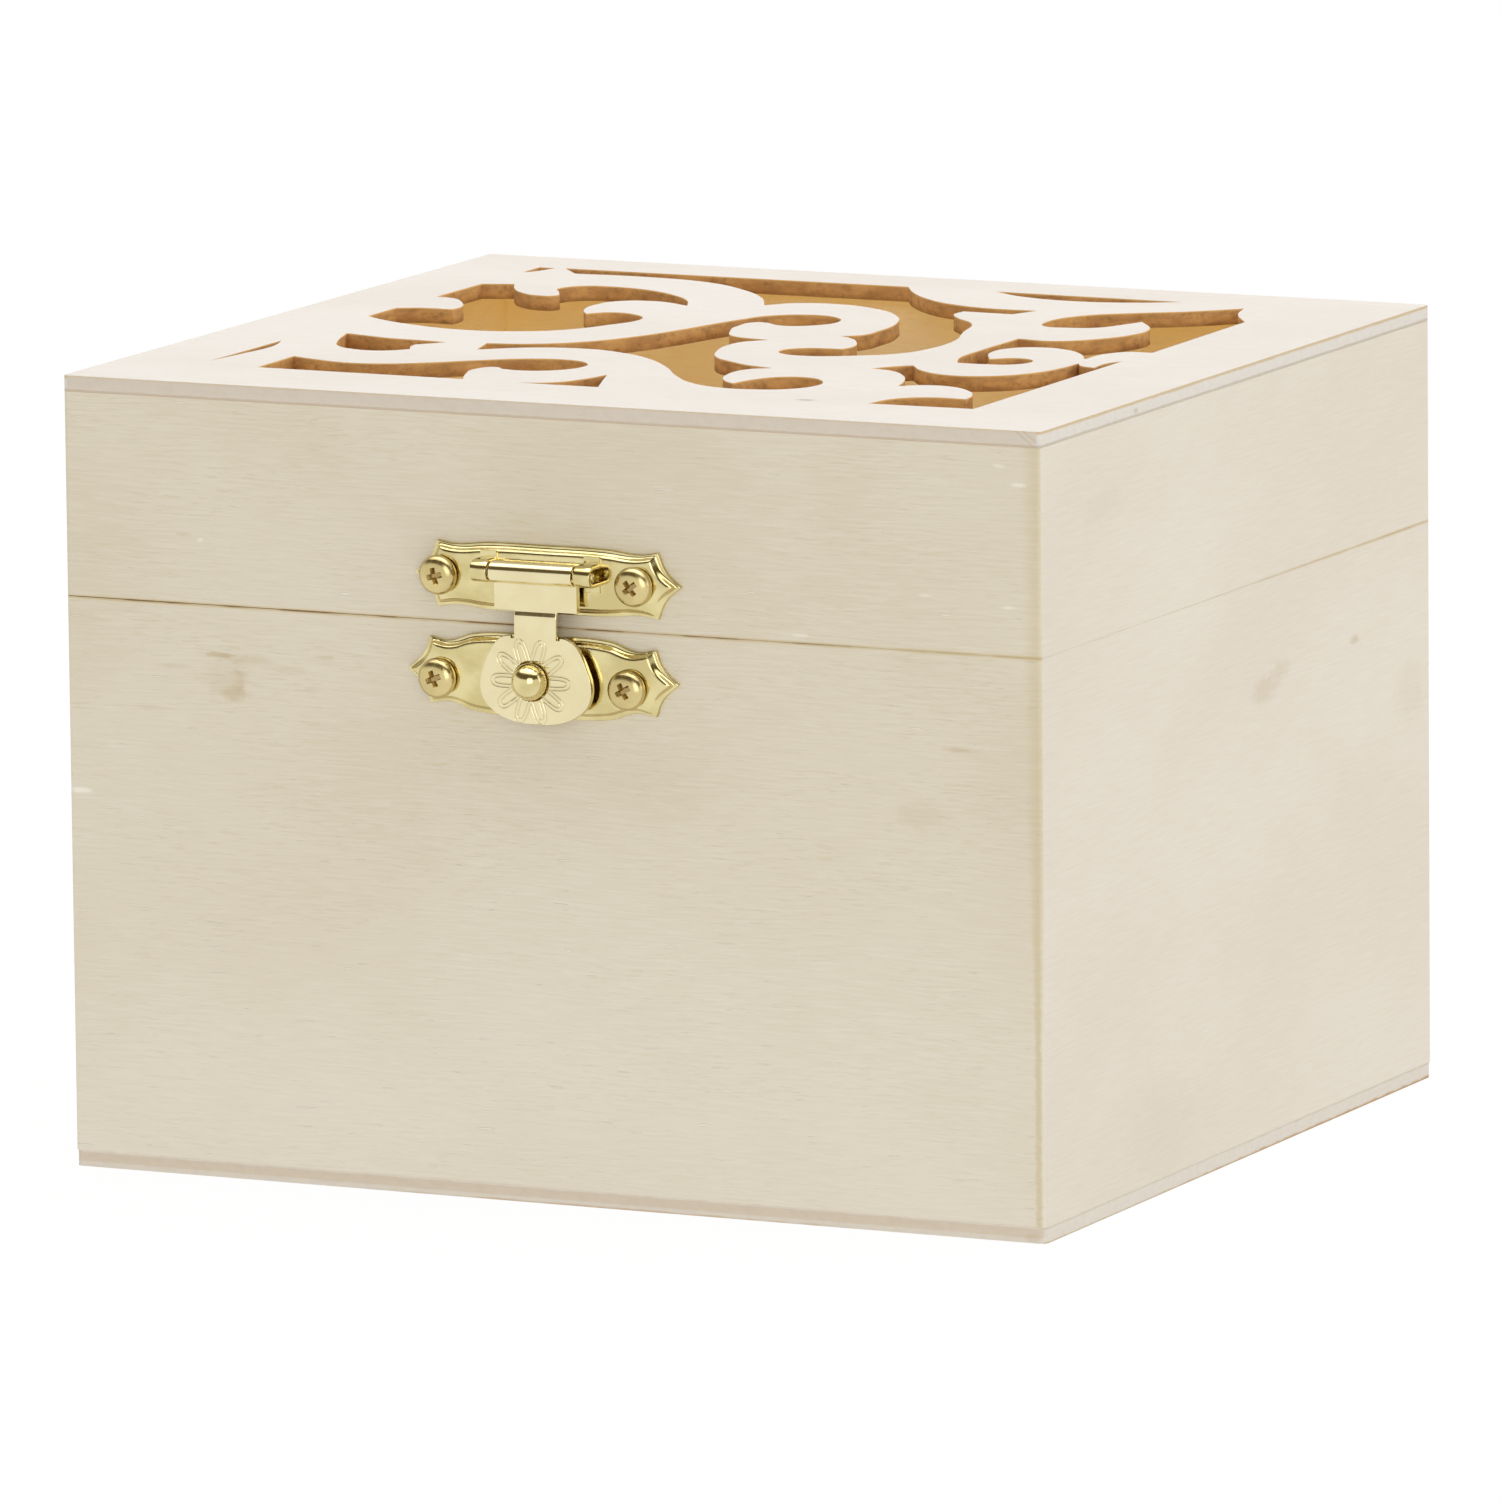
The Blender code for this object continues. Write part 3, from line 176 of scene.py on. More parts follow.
# Openings of the fretwork: shares of the field from its left and from its front, and the kind of point.
FRET_OPENING_SHARES = {
    "back_left_nick": [
        (0.004, 0.985, CORNER), (0.026, 0.985, CORNER), (0.014, 0.945, ROUND), (0.005, 0.930, CORNER),
    ],
    "great_sweep": [
        (0.038, 0.988, CORNER), (0.496, 0.990, CORNER), (0.522, 0.944, ROUND), (0.562, 0.894, ROUND),
        (0.605, 0.861, ROUND), (0.660, 0.842, ROUND), (0.728, 0.842, CORNER), (0.712, 0.800, CORNER),
        (0.648, 0.802, CORNER), (0.647, 0.775, ROUND), (0.662, 0.747, ROUND), (0.700, 0.702, ROUND),
        (0.722, 0.622, ROUND), (0.742, 0.548, ROUND), (0.743, 0.475, ROUND), (0.726, 0.415, ROUND),
        (0.684, 0.376, ROUND), (0.630, 0.352, ROUND), (0.596, 0.363, ROUND), (0.586, 0.388, ROUND),
        (0.601, 0.415, ROUND), (0.648, 0.427, CORNER), (0.652, 0.450, ROUND), (0.640, 0.490, ROUND),
        (0.618, 0.522, ROUND), (0.600, 0.534, CORNER), (0.619, 0.550, ROUND), (0.624, 0.600, ROUND),
        (0.618, 0.662, ROUND), (0.588, 0.735, ROUND), (0.545, 0.780, ROUND), (0.485, 0.804, ROUND),
        (0.430, 0.793, ROUND), (0.404, 0.760, CORNER), (0.372, 0.825, ROUND), (0.325, 0.882, ROUND),
        (0.255, 0.933, ROUND), (0.160, 0.951, ROUND), (0.070, 0.946, CORNER),
    ],
    "left_scroll": [
        (0.004, 0.812, CORNER), (0.041, 0.826, CORNER), (0.060, 0.785, ROUND), (0.078, 0.760, ROUND),
        (0.112, 0.738, ROUND), (0.132, 0.745, ROUND), (0.124, 0.775, ROUND), (0.109, 0.808, ROUND),
        (0.126, 0.842, ROUND), (0.160, 0.850, ROUND), (0.215, 0.838, ROUND), (0.262, 0.807, ROUND),
        (0.297, 0.768, ROUND), (0.319, 0.720, CORNER), (0.268, 0.743, ROUND), (0.225, 0.727, ROUND),
        (0.212, 0.678, ROUND), (0.219, 0.635, ROUND), (0.236, 0.603, CORNER), (0.258, 0.627, ROUND),
        (0.296, 0.618, ROUND), (0.318, 0.582, ROUND), (0.302, 0.515, ROUND), (0.270, 0.453, ROUND),
        (0.225, 0.420, ROUND), (0.165, 0.408, ROUND), (0.085, 0.428, ROUND), (0.032, 0.456, ROUND),
        (0.002, 0.480, CORNER), (0.002, 0.562, CORNER), (0.028, 0.575, ROUND), (0.070, 0.577, CORNER),
        (0.071, 0.600, ROUND), (0.050, 0.648, ROUND), (0.028, 0.673, ROUND), (0.003, 0.678, CORNER),
    ],
    "left_leaf": [
        (0.045, 0.325, CORNER), (0.080, 0.314, ROUND), (0.115, 0.304, ROUND), (0.150, 0.302, ROUND),
        (0.190, 0.296, CORNER), (0.163, 0.262, CORNER), (0.166, 0.243, ROUND), (0.175, 0.222, CORNER),
        (0.150, 0.197, ROUND), (0.118, 0.195, ROUND), (0.085, 0.215, ROUND), (0.066, 0.252, ROUND),
    ],
    "left_slit": [
        (0.001, 0.232, CORNER), (0.011, 0.195, ROUND), (0.013, 0.160, ROUND), (0.008, 0.108, ROUND),
        (0.000, 0.030, CORNER),
    ],
    "front_wave": [
        (0.074, 0.110, CORNER), (0.110, 0.095, ROUND), (0.155, 0.083, ROUND), (0.200, 0.092, ROUND),
        (0.245, 0.122, ROUND), (0.290, 0.163, ROUND), (0.340, 0.200, ROUND), (0.388, 0.209, ROUND),
        (0.420, 0.190, ROUND), (0.429, 0.155, ROUND), (0.412, 0.118, ROUND), (0.378, 0.100, ROUND),
        (0.350, 0.103, CORNER), (0.334, 0.116, ROUND), (0.319, 0.088, ROUND), (0.326, 0.050, ROUND),
        (0.343, 0.003, CORNER), (0.076, 0.003, CORNER),
    ],
    "front_wedge": [
        (0.484, 0.105, CORNER), (0.500, 0.055, ROUND), (0.518, 0.001, CORNER), (0.415, 0.000, CORNER),
        (0.452, 0.018, ROUND), (0.473, 0.058, ROUND),
    ],
    "middle_sweep": [
        (0.430, 0.630, ROUND), (0.446, 0.672, ROUND), (0.482, 0.699, ROUND), (0.525, 0.693, ROUND),
        (0.547, 0.650, ROUND), (0.533, 0.612, ROUND), (0.500, 0.594, ROUND), (0.472, 0.612, CORNER),
        (0.458, 0.612, ROUND), (0.450, 0.568, ROUND), (0.460, 0.525, ROUND), (0.482, 0.484, ROUND),
        (0.536, 0.467, CORNER), (0.514, 0.440, ROUND), (0.509, 0.405, ROUND), (0.515, 0.362, ROUND),
        (0.540, 0.300, ROUND), (0.572, 0.271, ROUND), (0.600, 0.251, ROUND), (0.640, 0.236, CORNER),
        (0.617, 0.215, ROUND), (0.613, 0.160, ROUND), (0.632, 0.112, ROUND), (0.650, 0.094, CORNER),
        (0.657, 0.130, ROUND), (0.675, 0.165, ROUND), (0.710, 0.177, ROUND), (0.738, 0.155, ROUND),
        (0.748, 0.115, ROUND), (0.728, 0.072, ROUND), (0.690, 0.054, ROUND), (0.650, 0.054, ROUND),
        (0.605, 0.078, ROUND), (0.562, 0.130, ROUND), (0.520, 0.197, ROUND), (0.465, 0.262, ROUND),
        (0.420, 0.293, ROUND), (0.365, 0.308, ROUND), (0.300, 0.291, ROUND), (0.250, 0.250, CORNER),
        (0.237, 0.308, CORNER), (0.285, 0.322, ROUND), (0.335, 0.362, ROUND), (0.378, 0.440, ROUND),
        (0.400, 0.510, ROUND), (0.415, 0.575, ROUND),
    ],
    "back_lens": [
        (0.612, 0.990, CORNER), (0.858, 0.986, CORNER), (0.800, 0.956, ROUND), (0.735, 0.943, ROUND),
        (0.660, 0.958, ROUND),
    ],
    "right_scroll": [
        (0.949, 0.960, CORNER), (0.962, 0.908, ROUND), (0.997, 0.843, CORNER), (1.000, 0.538, CORNER),
        (0.972, 0.536, ROUND), (0.952, 0.505, ROUND), (0.948, 0.455, CORNER), (0.925, 0.498, ROUND),
        (0.895, 0.526, ROUND), (0.860, 0.533, ROUND), (0.830, 0.512, ROUND), (0.822, 0.470, ROUND),
        (0.843, 0.413, CORNER), (0.876, 0.433, ROUND), (0.899, 0.412, ROUND), (0.888, 0.378, ROUND),
        (0.856, 0.367, ROUND), (0.822, 0.366, CORNER), (0.807, 0.410, ROUND), (0.804, 0.480, ROUND),
        (0.805, 0.596, CORNER), (0.850, 0.592, ROUND), (0.895, 0.634, ROUND), (0.917, 0.685, ROUND),
        (0.917, 0.735, ROUND), (0.883, 0.797, CORNER), (0.872, 0.765, ROUND), (0.852, 0.724, ROUND),
        (0.820, 0.711, ROUND), (0.793, 0.711, ROUND), (0.777, 0.758, ROUND), (0.795, 0.822, ROUND),
        (0.845, 0.870, ROUND), (0.895, 0.905, ROUND),
    ],
    "front_right_scroll": [
        (0.996, 0.455, CORNER), (0.995, 0.000, CORNER), (0.864, -0.005, CORNER), (0.880, 0.052, ROUND),
        (0.915, 0.074, ROUND), (0.955, 0.074, CORNER), (0.950, 0.104, ROUND), (0.930, 0.142, ROUND),
        (0.895, 0.169, ROUND), (0.862, 0.168, ROUND), (0.838, 0.148, CORNER), (0.826, 0.195, ROUND),
        (0.805, 0.240, ROUND), (0.778, 0.270, ROUND), (0.748, 0.279, CORNER), (0.764, 0.305, ROUND),
        (0.782, 0.325, CORNER), (0.812, 0.284, ROUND), (0.855, 0.261, ROUND), (0.905, 0.275, ROUND),
        (0.940, 0.322, ROUND), (0.953, 0.372, ROUND), (0.955, 0.418, CORNER), (0.968, 0.397, ROUND),
        (0.987, 0.389, CORNER), (0.986, 0.430, ROUND),
    ],
}

# Quarter outlines of the clasp plates, from the middle of the long edge to the end: shares of half the
# length and of half the height.
UPPER_PLATE_SHARES = [
    (0.00, 1.00, ROUND), (0.45, 0.985, ROUND), (0.70, 0.90, ROUND), (0.83, 0.98, CORNER),
    (0.885, 0.45, ROUND), (1.00, 0.00, CORNER),
]
LOWER_PLATE_SHARES = [
    (0.00, 1.00, ROUND), (0.50, 0.97, ROUND), (0.70, 0.76, ROUND), (0.835, 0.83, CORNER),
    (0.88, 0.42, ROUND), (1.00, 0.00, CORNER),
]

# Half outline of the hasp's paddle, from the middle of its foot to its shoulder: shares of half its width
# and of its length.
PADDLE_HALF_SHARES = [
    (0.00, 0.000, ROUND), (0.28, 0.005, ROUND), (0.51, 0.040, ROUND), (0.75, 0.120, ROUND),
    (0.91, 0.220, ROUND), (0.985, 0.350, ROUND), (0.985, 0.490, ROUND), (0.91, 0.650, ROUND),
    (0.80, 0.810, ROUND), (0.70, 0.910, ROUND), (0.56, 0.975, ROUND), (0.43, 0.990, CORNER),
]

# A piece on the front or the back is drawn flat, with x along the box, y up and z out of the face.
ON_FRONT = Matrix.Translation((0, FRONT_Y, 0)) @ Matrix.Rotation(math.radians(90), 4, "X")
ON_BACK = (
    Matrix.Translation((0, BACK_Y, 0)) @ Matrix.Rotation(math.radians(180), 4, "Z")
    @ Matrix.Rotation(math.radians(90), 4, "X")
)


# Nodes
def add_node(tree, kind, inputs=None, **settings):
    """A node with its settings made and its inputs linked or filled in."""
    made = tree.nodes.new(kind)
    for name, value in settings.items():
        setattr(made, name, value)
    for key, value in (inputs or {}).items():
        if isinstance(value, bpy.types.NodeSocket):
            tree.links.new(value, made.inputs[key])
        else:
            made.inputs[key].default_value = value
    return made


def maths(tree, operation, first, second=0.0, third=0.0, clamp=False):
    made = add_node(
        tree, "ShaderNodeMath", {0: first, 1: second, 2: third}, operation=operation, use_clamp=clamp
    )
    return made.outputs[0]


def spread(tree, value, low, high, to_low=0.0, to_high=1.0):
    """Maps low to high smoothly onto 0 to 1, or onto to_low to to_high."""
    inputs = {"Value": value, "From Min": low, "From Max": high, "To Min": to_low, "To Max": to_high}
    return add_node(tree, "ShaderNodeMapRange", inputs, interpolation_type="SMOOTHSTEP").outputs["Result"]


def spread_linear(tree, value, low, high):
    """Maps low to high evenly onto 0 to 1, and stops at both."""
    inputs = {"Value": value, "From Min": low, "From Max": high}
    return add_node(tree, "ShaderNodeMapRange", inputs, clamp=True).outputs["Result"]


def tint(tree, amount, first, second):
    return add_node(tree, "ShaderNodeMix", {0: amount, 6: first, 7: second}, data_type="RGBA").outputs[2]


def parts_of(tree, vector):
    """The x, y and z of a vector."""
    return add_node(tree, "ShaderNodeSeparateXYZ", {"Vector": vector}).outputs


def joined(tree, *parts):
    """A vector of three parts."""
    return add_node(tree, "ShaderNodeCombineXYZ", dict(enumerate(parts))).outputs[0]


def vector_maths(tree, operation, *vectors):
    made = add_node(tree, "ShaderNodeVectorMath", dict(enumerate(vectors)), operation=operation)
    return made.outputs["Value" if operation == "LENGTH" else 0]


def cloud(tree, place, scale, detail=2.0, roughness=0.5):
    """Noise over a place that is stretched by a scale for each direction."""
    stretched = add_node(tree, "ShaderNodeMapping", {"Vector": place, "Scale": scale}).outputs["Vector"]
    inputs = {"Vector": stretched, "Scale": 1.0, "Detail": detail, "Roughness": roughness}
    return add_node(tree, "ShaderNodeTexNoise", inputs).outputs["Fac"]


def millimetres(tree):
    """Object coordinates in millimetres."""
    coordinates = tree.nodes.new("ShaderNodeTexCoord").outputs["Object"]
    scaled = add_node(tree, "ShaderNodeMapping", {"Vector": coordinates, "Scale": (MM, MM, MM)})
    return scaled.outputs["Vector"]


def reordered(tree, vector, order):
    """The vector's parts in another order, such as (2, 0, 1)."""
    parts = parts_of(tree, vector)
    return joined(tree, *(parts[part] for part in order))


def new_group(name, inputs, outputs):
    """A shader group with its sockets made, and its input and output nodes."""
    group = bpy.data.node_groups.new(name, "ShaderNodeTree")
    for label, kind, value in inputs:
        socket = group.interface.new_socket(label, in_out="INPUT", socket_type=kind)
        if value is not None:
            socket.default_value = value
    for label, kind in outputs:
        group.interface.new_socket(label, in_out="OUTPUT", socket_type=kind)
    return group, group.nodes.new("NodeGroupInput").outputs, group.nodes.new("NodeGroupOutput").inputs


def placed_group(tree, group, **inputs):
    """The group as a node in a material; an input named fleck_amount fills the socket Fleck Amount."""
    labelled = {name.replace("_", " ").title(): value for name, value in inputs.items()}
    return add_node(tree, "ShaderNodeGroup", labelled, node_tree=group).outputs


def srgb(red, green, blue):
    """A colour as seen on a screen, from 0 to 255, as the renderer's linear values."""
    def linear(share):
        return share / 12.92 if share <= 0.04045 else ((share + 0.055) / 1.055) ** 2.4
    return (linear(red / 255), linear(green / 255), linear(blue / 255), 1.0)


FLOAT = "NodeSocketFloat"
VECTOR = "NodeSocketVector"
COLOUR = "NodeSocketColor"

# Spots on the wood: centre and reach in millimetres, and strength
FRONT_STAINS_AND_CLASP_SHADOW = [
    ((-41.0, -54.0, 59.4), (2.8, 3.0, 0.50), 0.42), ((-37.6, -54.0, 59.1), (4.4, 3.0, 0.8), 0.20),
    ((-38.2, -54.0, 57.6), (1.7, 3.0, 0.7), 0.26), ((-38.9, -54.0, 55.2), (2.3, 3.0, 1.3), 0.28),
    ((-38.3, -54.0, 56.6), (1.0, 3.0, 2.0), 0.18), ((-40.0, -54.0, 56.6), (4.2, 3.0, 3.4), 0.14),
    ((-46.8, -54.0, 57.9), (2.9, 3.0, 0.42), 0.16), ((-31.5, -54.0, 58.2), (3.3, 3.0, 0.5), 0.15),
    ((-29.9, -54.0, 56.1), (1.9, 3.0, 0.5), 0.17), ((-27.6, -54.0, 59.9), (1.4, 3.0, 0.34), 0.22),
    ((-49.3, -54.0, 53.0), (2.8, 3.0, 0.36), 0.18), ((-45.0, -54.0, 72.8), (1.9, 3.0, 0.36), 0.20),
    ((45.0, -54.0, 46.5), (4.5, 3.0, 2.4), 0.12), ((50.1, -54.0, 54.3), (2.6, 3.0, 0.5), 0.30),
    # The last spot is a painted shadow below the clasp.
    ((2.0, -54.0, 48.0), (22.0, 3.0, 9.0), 0.06),
]
SIDE_SMUDGES = [
    ((60.0, 6.6, 52.4), (3.0, 5.0, 2.2), 0.22), ((60.0, 11.0, 54.0), (3.0, 3.6, 1.6), 0.18),
    ((60.0, 32.2, 54.3), (3.0, 1.6, 0.7), 0.35), ((60.0, 48.0, 46.0), (3.0, 6.0, 5.0), 0.10),
    ((60.0, -37.0, 79.5), (3.0, 7.0, 2.6), 0.07), ((60.0, -22.0, 8.0), (3.0, 14.0, 8.0), 0.06),
]
TOP_SMUDGES = [((25.9, -41.3, 90.0), (1.7, 0.8, 2.0), 0.95)]
FRONT_NICKS = [
    ((-58.5, -54.0, 43.0), (1.8, 3.0, 0.4), 0.9), ((57.3, -54.0, 84.0), (1.2, 3.0, 0.3), 0.7),
    ((55.0, -54.0, 86.0), (0.9, 3.0, 0.28), 0.5), ((56.2, -54.0, 70.4), (1.1, 3.0, 0.24), 0.6),
    ((46.0, -54.0, 71.2), (1.2, 3.0, 0.24), 0.4), ((-43.0, -54.0, 72.3), (0.6, 3.0, 0.36), 0.6),
    ((30.9, -54.0, 65.9), (1.4, 3.0, 0.3), 0.5),
]
TOP_EDGE_SPOTS = [((60.0, -28.5, 88.9), (3.0, 0.8, 0.5), 0.35)]
UNDER_FRONT_SPOTS = [
    ((8.5, -54.0, 0.0), (38.0, 3.0, 0.30), 0.55), ((58.3, -54.0, 0.6), (1.3, 3.0, 0.6), 0.20),
]
UNDER_SIDE_SPOTS = [((60.0, 36.0, 0.0), (3.0, 78.0, 0.42), 0.75)]
SCORE_SLANT = 1.3

# Heights and reaches of the wood's markings, its painted light and its painted shade, in millimetres
PAINTED_FOOT_LIGHT_HEIGHT = 55.0
STRIP_ENDS = (20.0, 62.0)
GOLDEN_SEAM_REACH = (0.08, 0.34)
SEAM_SHADE_REACH = (0.04, 0.14)
PLY_BORDER = (-0.10, 0.10)

# The hasp's engraved flower, in millimetres
PETAL_COUNT = 10
PETAL_INNER = 1.6
PETAL_OUTER = 4.9
PETAL_FULLNESS = 7.0
PETAL_LINES = ((1.0, 0.78), (0.86, 0.40))
PETAL_LINE_REACH = (0.04, 0.15)
OUT_OF_REACH = 9.0


# Effects that the materials share
def make_veneer_group():
    """Sliced veneer with x of the place along its grain: fibres, flecks, torn pale nicks and cloudy tone."""
    group, given, result = new_group(
        "veneer",
        [
            ("Place", VECTOR, None), ("Ground", COLOUR, None), ("Pale", COLOUR, None),
            ("Fleck", COLOUR, None), ("Fleck Amount", FLOAT, 0.5), ("Nick Amount", FLOAT, 0.5),
            ("Cloud Amount", FLOAT, 0.5), ("Wander", FLOAT, 1.8),
        ],
        [("Colour", COLOUR), ("Height", FLOAT)],
    )
    place = given["Place"]
    wander = maths(group, "SUBTRACT", cloud(group, place, (0.04, 0.07, 0.07)), 0.5)
    wander = maths(group, "MULTIPLY", wander, given["Wander"])
    parts = parts_of(group, place)
    place = joined(group, parts[0], maths(group, "ADD", parts[1], wander), parts[2])
    fibres = spread(group, cloud(group, place, (0.16, 3.4, 1.0), 4.0, 0.6), 0.30, 0.70)
    fleck_run = spread(group, cloud(group, place, (0.40, 3.6, 1.3), 2.0, 0.45), 0.56, 0.68)
    fleck_patch = spread(group, cloud(group, place, (0.05, 0.16, 0.2), 2.0), 0.38, 0.62, 0.25, 1.0)
    flecks = maths(group, "MULTIPLY", maths(group, "MULTIPLY", fleck_run, fleck_patch), given["Fleck Amount"])
    nick_run = spread(group, cloud(group, place, (0.30, 2.4, 2.2), 1.0, 0.4), 0.735, 0.78)
    nicks = maths(group, "MULTIPLY", nick_run, given["Nick Amount"])
    clouds = spread(group, cloud(group, place, (0.030, 0.045, 0.045), 3.0), 0.32, 0.68)
    clouds = maths(group, "MULTIPLY", clouds, given["Cloud Amount"])
    pale_share = maths(group, "ADD", maths(group, "MULTIPLY", fibres, 0.45), clouds, clamp=True)
    colour = tint(group, pale_share, given["Ground"], given["Pale"])
    colour = tint(group, flecks, colour, given["Fleck"])
    colour = tint(group, nicks, colour, srgb(246, 238, 218))
    height = maths(group, "MULTIPLY", fibres, 0.35)
    height = maths(group, "SUBTRACT", height, maths(group, "MULTIPLY", flecks, 0.8))
    height = maths(group, "ADD", height, maths(group, "MULTIPLY", nicks, 1.4))
    group.links.new(colour, result["Colour"])
    group.links.new(height, result["Height"])
    return group


def make_layers_group():
    """Edge of three-ply by depth from its outer face: outer veneer, core and inner veneer."""
    group, given, result = new_group(
        "ply_layers",
        [
            ("Place", VECTOR, None), ("Depth", FLOAT, 0.0), ("Thickness", FLOAT, 1.8),
            ("Outer Ply", FLOAT, 0.3), ("Inner Ply", FLOAT, 0.3),
            ("Outer Colour", COLOUR, None), ("Core Colour", COLOUR, None), ("Inner Colour", COLOUR, None),
        ],
        [("Colour", COLOUR), ("Height", FLOAT)],
    )
    waver = maths(group, "SUBTRACT", cloud(group, given["Place"], (0.35, 0.35, 0.35), 3.0), 0.5)
    depth = maths(group, "ADD", given["Depth"], maths(group, "MULTIPLY", waver, 0.22))
    past_outer = maths(group, "SUBTRACT", depth, given["Outer Ply"])
    above_inner = maths(group, "SUBTRACT", given["Thickness"], depth)
    past_inner = maths(group, "SUBTRACT", above_inner, given["Inner Ply"])
    grain = cloud(group, given["Place"], (0.9, 0.9, 1.6), 4.0, 0.65)
    shaded = spread(group, grain, 0.35, 0.75, 0.0, 0.12)
    in_inner = spread(group, past_inner, *PLY_BORDER, 1.0, 0.0)
    in_outer = spread(group, past_outer, *PLY_BORDER, 1.0, 0.0)
    colour = tint(group, in_inner, given["Core Colour"], given["Inner Colour"])
    colour = tint(group, in_outer, colour, given["Outer Colour"])
    colour = tint(group, shaded, colour, srgb(176, 150, 116))
    group.links.new(colour, result["Colour"])
    group.links.new(grain, result["Height"])
    return group


def make_soft_spot_group():
    """A soft ragged spot round a centre, as handling or a small knot leaves; it also lays the painted shadow
    below the clasp.
    """
    group, given, result = new_group(
        "smudge",
        [("Place", VECTOR, None), ("Centre", VECTOR, None), ("Size", VECTOR, None), ("Strength", FLOAT, 0.5)],
        [("Mask", FLOAT)],
    )
    offset = vector_maths(group, "SUBTRACT", given["Place"], given["Centre"])
    distance = vector_maths(group, "LENGTH", vector_maths(group, "DIVIDE", offset, given["Size"]))
    ragged = maths(group, "SUBTRACT", cloud(group, given["Place"], (0.45, 0.45, 0.8), 4.0, 0.65), 0.5)
    distance = maths(group, "ADD", distance, maths(group, "MULTIPLY", ragged, 1.6))
    mask = spread(group, distance, 0.25, 1.0, 1.0, 0.0)
    group.links.new(maths(group, "MULTIPLY", mask, given["Strength"]), result["Mask"])
    return group


def make_plating_group():
    """Bright plating: faint mottling in its gloss, fine pits and hairline scratches."""
    group, given, result = new_group(
        "plating",
        [
            ("Place", VECTOR, None), ("Smooth", FLOAT, 0.16), ("Rough", FLOAT, 0.30),
            ("Tarnish", COLOUR, None), ("Bright", COLOUR, None), ("Cloudiness", FLOAT, 0.35),
        ],
        [("Colour", COLOUR), ("Roughness", FLOAT), ("Height", FLOAT)],
    )
    mottle = spread(group, cloud(group, given["Place"], (0.9, 0.9, 0.9), 4.0, 0.6), 0.35, 0.70)
    pits = spread(group, cloud(group, given["Place"], (7.0, 7.0, 7.0), 2.0, 0.5), 0.66, 0.74)
    scratches = spread(group, cloud(group, given["Place"], (0.7, 14.0, 9.0), 1.0, 0.4), 0.62, 0.70)
    worn = maths(group, "ADD", maths(group, "MULTIPLY", mottle, 0.6), maths(group, "MULTIPLY", pits, 0.4))
    roughness = add_node(
        group, "ShaderNodeMapRange", {"Value": worn, "To Min": given["Smooth"], "To Max": given["Rough"]}
    ).outputs["Result"]
    clouds = spread(group, cloud(group, given["Place"], (0.22, 0.22, 0.30), 3.0), 0.36, 0.66)
    clouds = maths(group, "MULTIPLY", clouds, given["Cloudiness"])
    dulled = maths(group, "ADD", clouds, maths(group, "MULTIPLY", pits, 0.2))
    colour = tint(group, dulled, given["Bright"], given["Tarnish"])
    marks = maths(group, "ADD", maths(group, "MULTIPLY", pits, 0.5), scratches)
    height = maths(group, "MULTIPLY", marks, -0.15)
    height = maths(group, "ADD", height, maths(group, "MULTIPLY", mottle, 0.4))
    group.links.new(colour, result["Colour"])
    group.links.new(roughness, result["Roughness"])
    group.links.new(height, result["Height"])
    return group


# Materials
def new_finish(name):
    """A new material, its tree and its one surface shader."""
    finish = bpy.data.materials.new(name)
    finish.use_nodes = True
    tree = finish.node_tree
    return finish, tree, tree.nodes["Principled BSDF"]


def bump(tree, shader, height, distance, strength=1.0):
    relief = add_node(tree, "ShaderNodeBump", {"Height": height, "Distance": distance, "Strength": strength})
    tree.links.new(relief.outputs["Normal"], shader.inputs["Normal"])


def wood_shader(tree, shader, colour, height, relief, roughness=0.62):
    shader.inputs["Roughness"].default_value = roughness
    shader.inputs["Specular IOR Level"].default_value = 0.3
    tree.links.new(colour, shader.inputs["Base Color"])
    bump(tree, shader, height, relief)


def spotted(tree, place, colour, spots, dark):
    """Lays each (centre, size, strength) spot over the colour."""
    for centre, size, strength in spots:
        mask = placed_group(tree, SOFT_SPOT, place=place, centre=centre, size=size, strength=strength)["Mask"]
        colour = tint(tree, mask, colour, dark)
    return colour


def seam_tint_and_painted_shade(tree, place, colour, golden_share, seam_shade_share):
    """Tints both walls' edges golden along the seam, with brown runs of painted shade from the gap between
    lid and base that come and go.
    """
    height = parts_of(tree, place)[2]
    off_seam = maths(tree, "ABSOLUTE", maths(tree, "SUBTRACT", height, SEAM_Z * MM))
    patches = cloud(tree, place, (0.11, 0.11, 0.0), 3.0, 0.6)
    golden = maths(tree, "MULTIPLY", spread(tree, off_seam, *GOLDEN_SEAM_REACH, 0.85, 0.0), golden_share)
    golden = maths(tree, "MULTIPLY", golden, spread(tree, patches, 0.3, 0.55, 0.5, 1.0))
    colour = tint(tree, golden, colour, srgb(206, 182, 128))
    # Painted shade: the dark brown line of the gap between lid and base.
    dark = maths(tree, "MULTIPLY", spread(tree, off_seam, *SEAM_SHADE_REACH, 0.9, 0.0), seam_shade_share)
    dark = maths(tree, "MULTIPLY", dark, spread(tree, patches, 0.46, 0.56, 0.05, 1.0))
    return tint(tree, dark, colour, srgb(132, 100, 76))


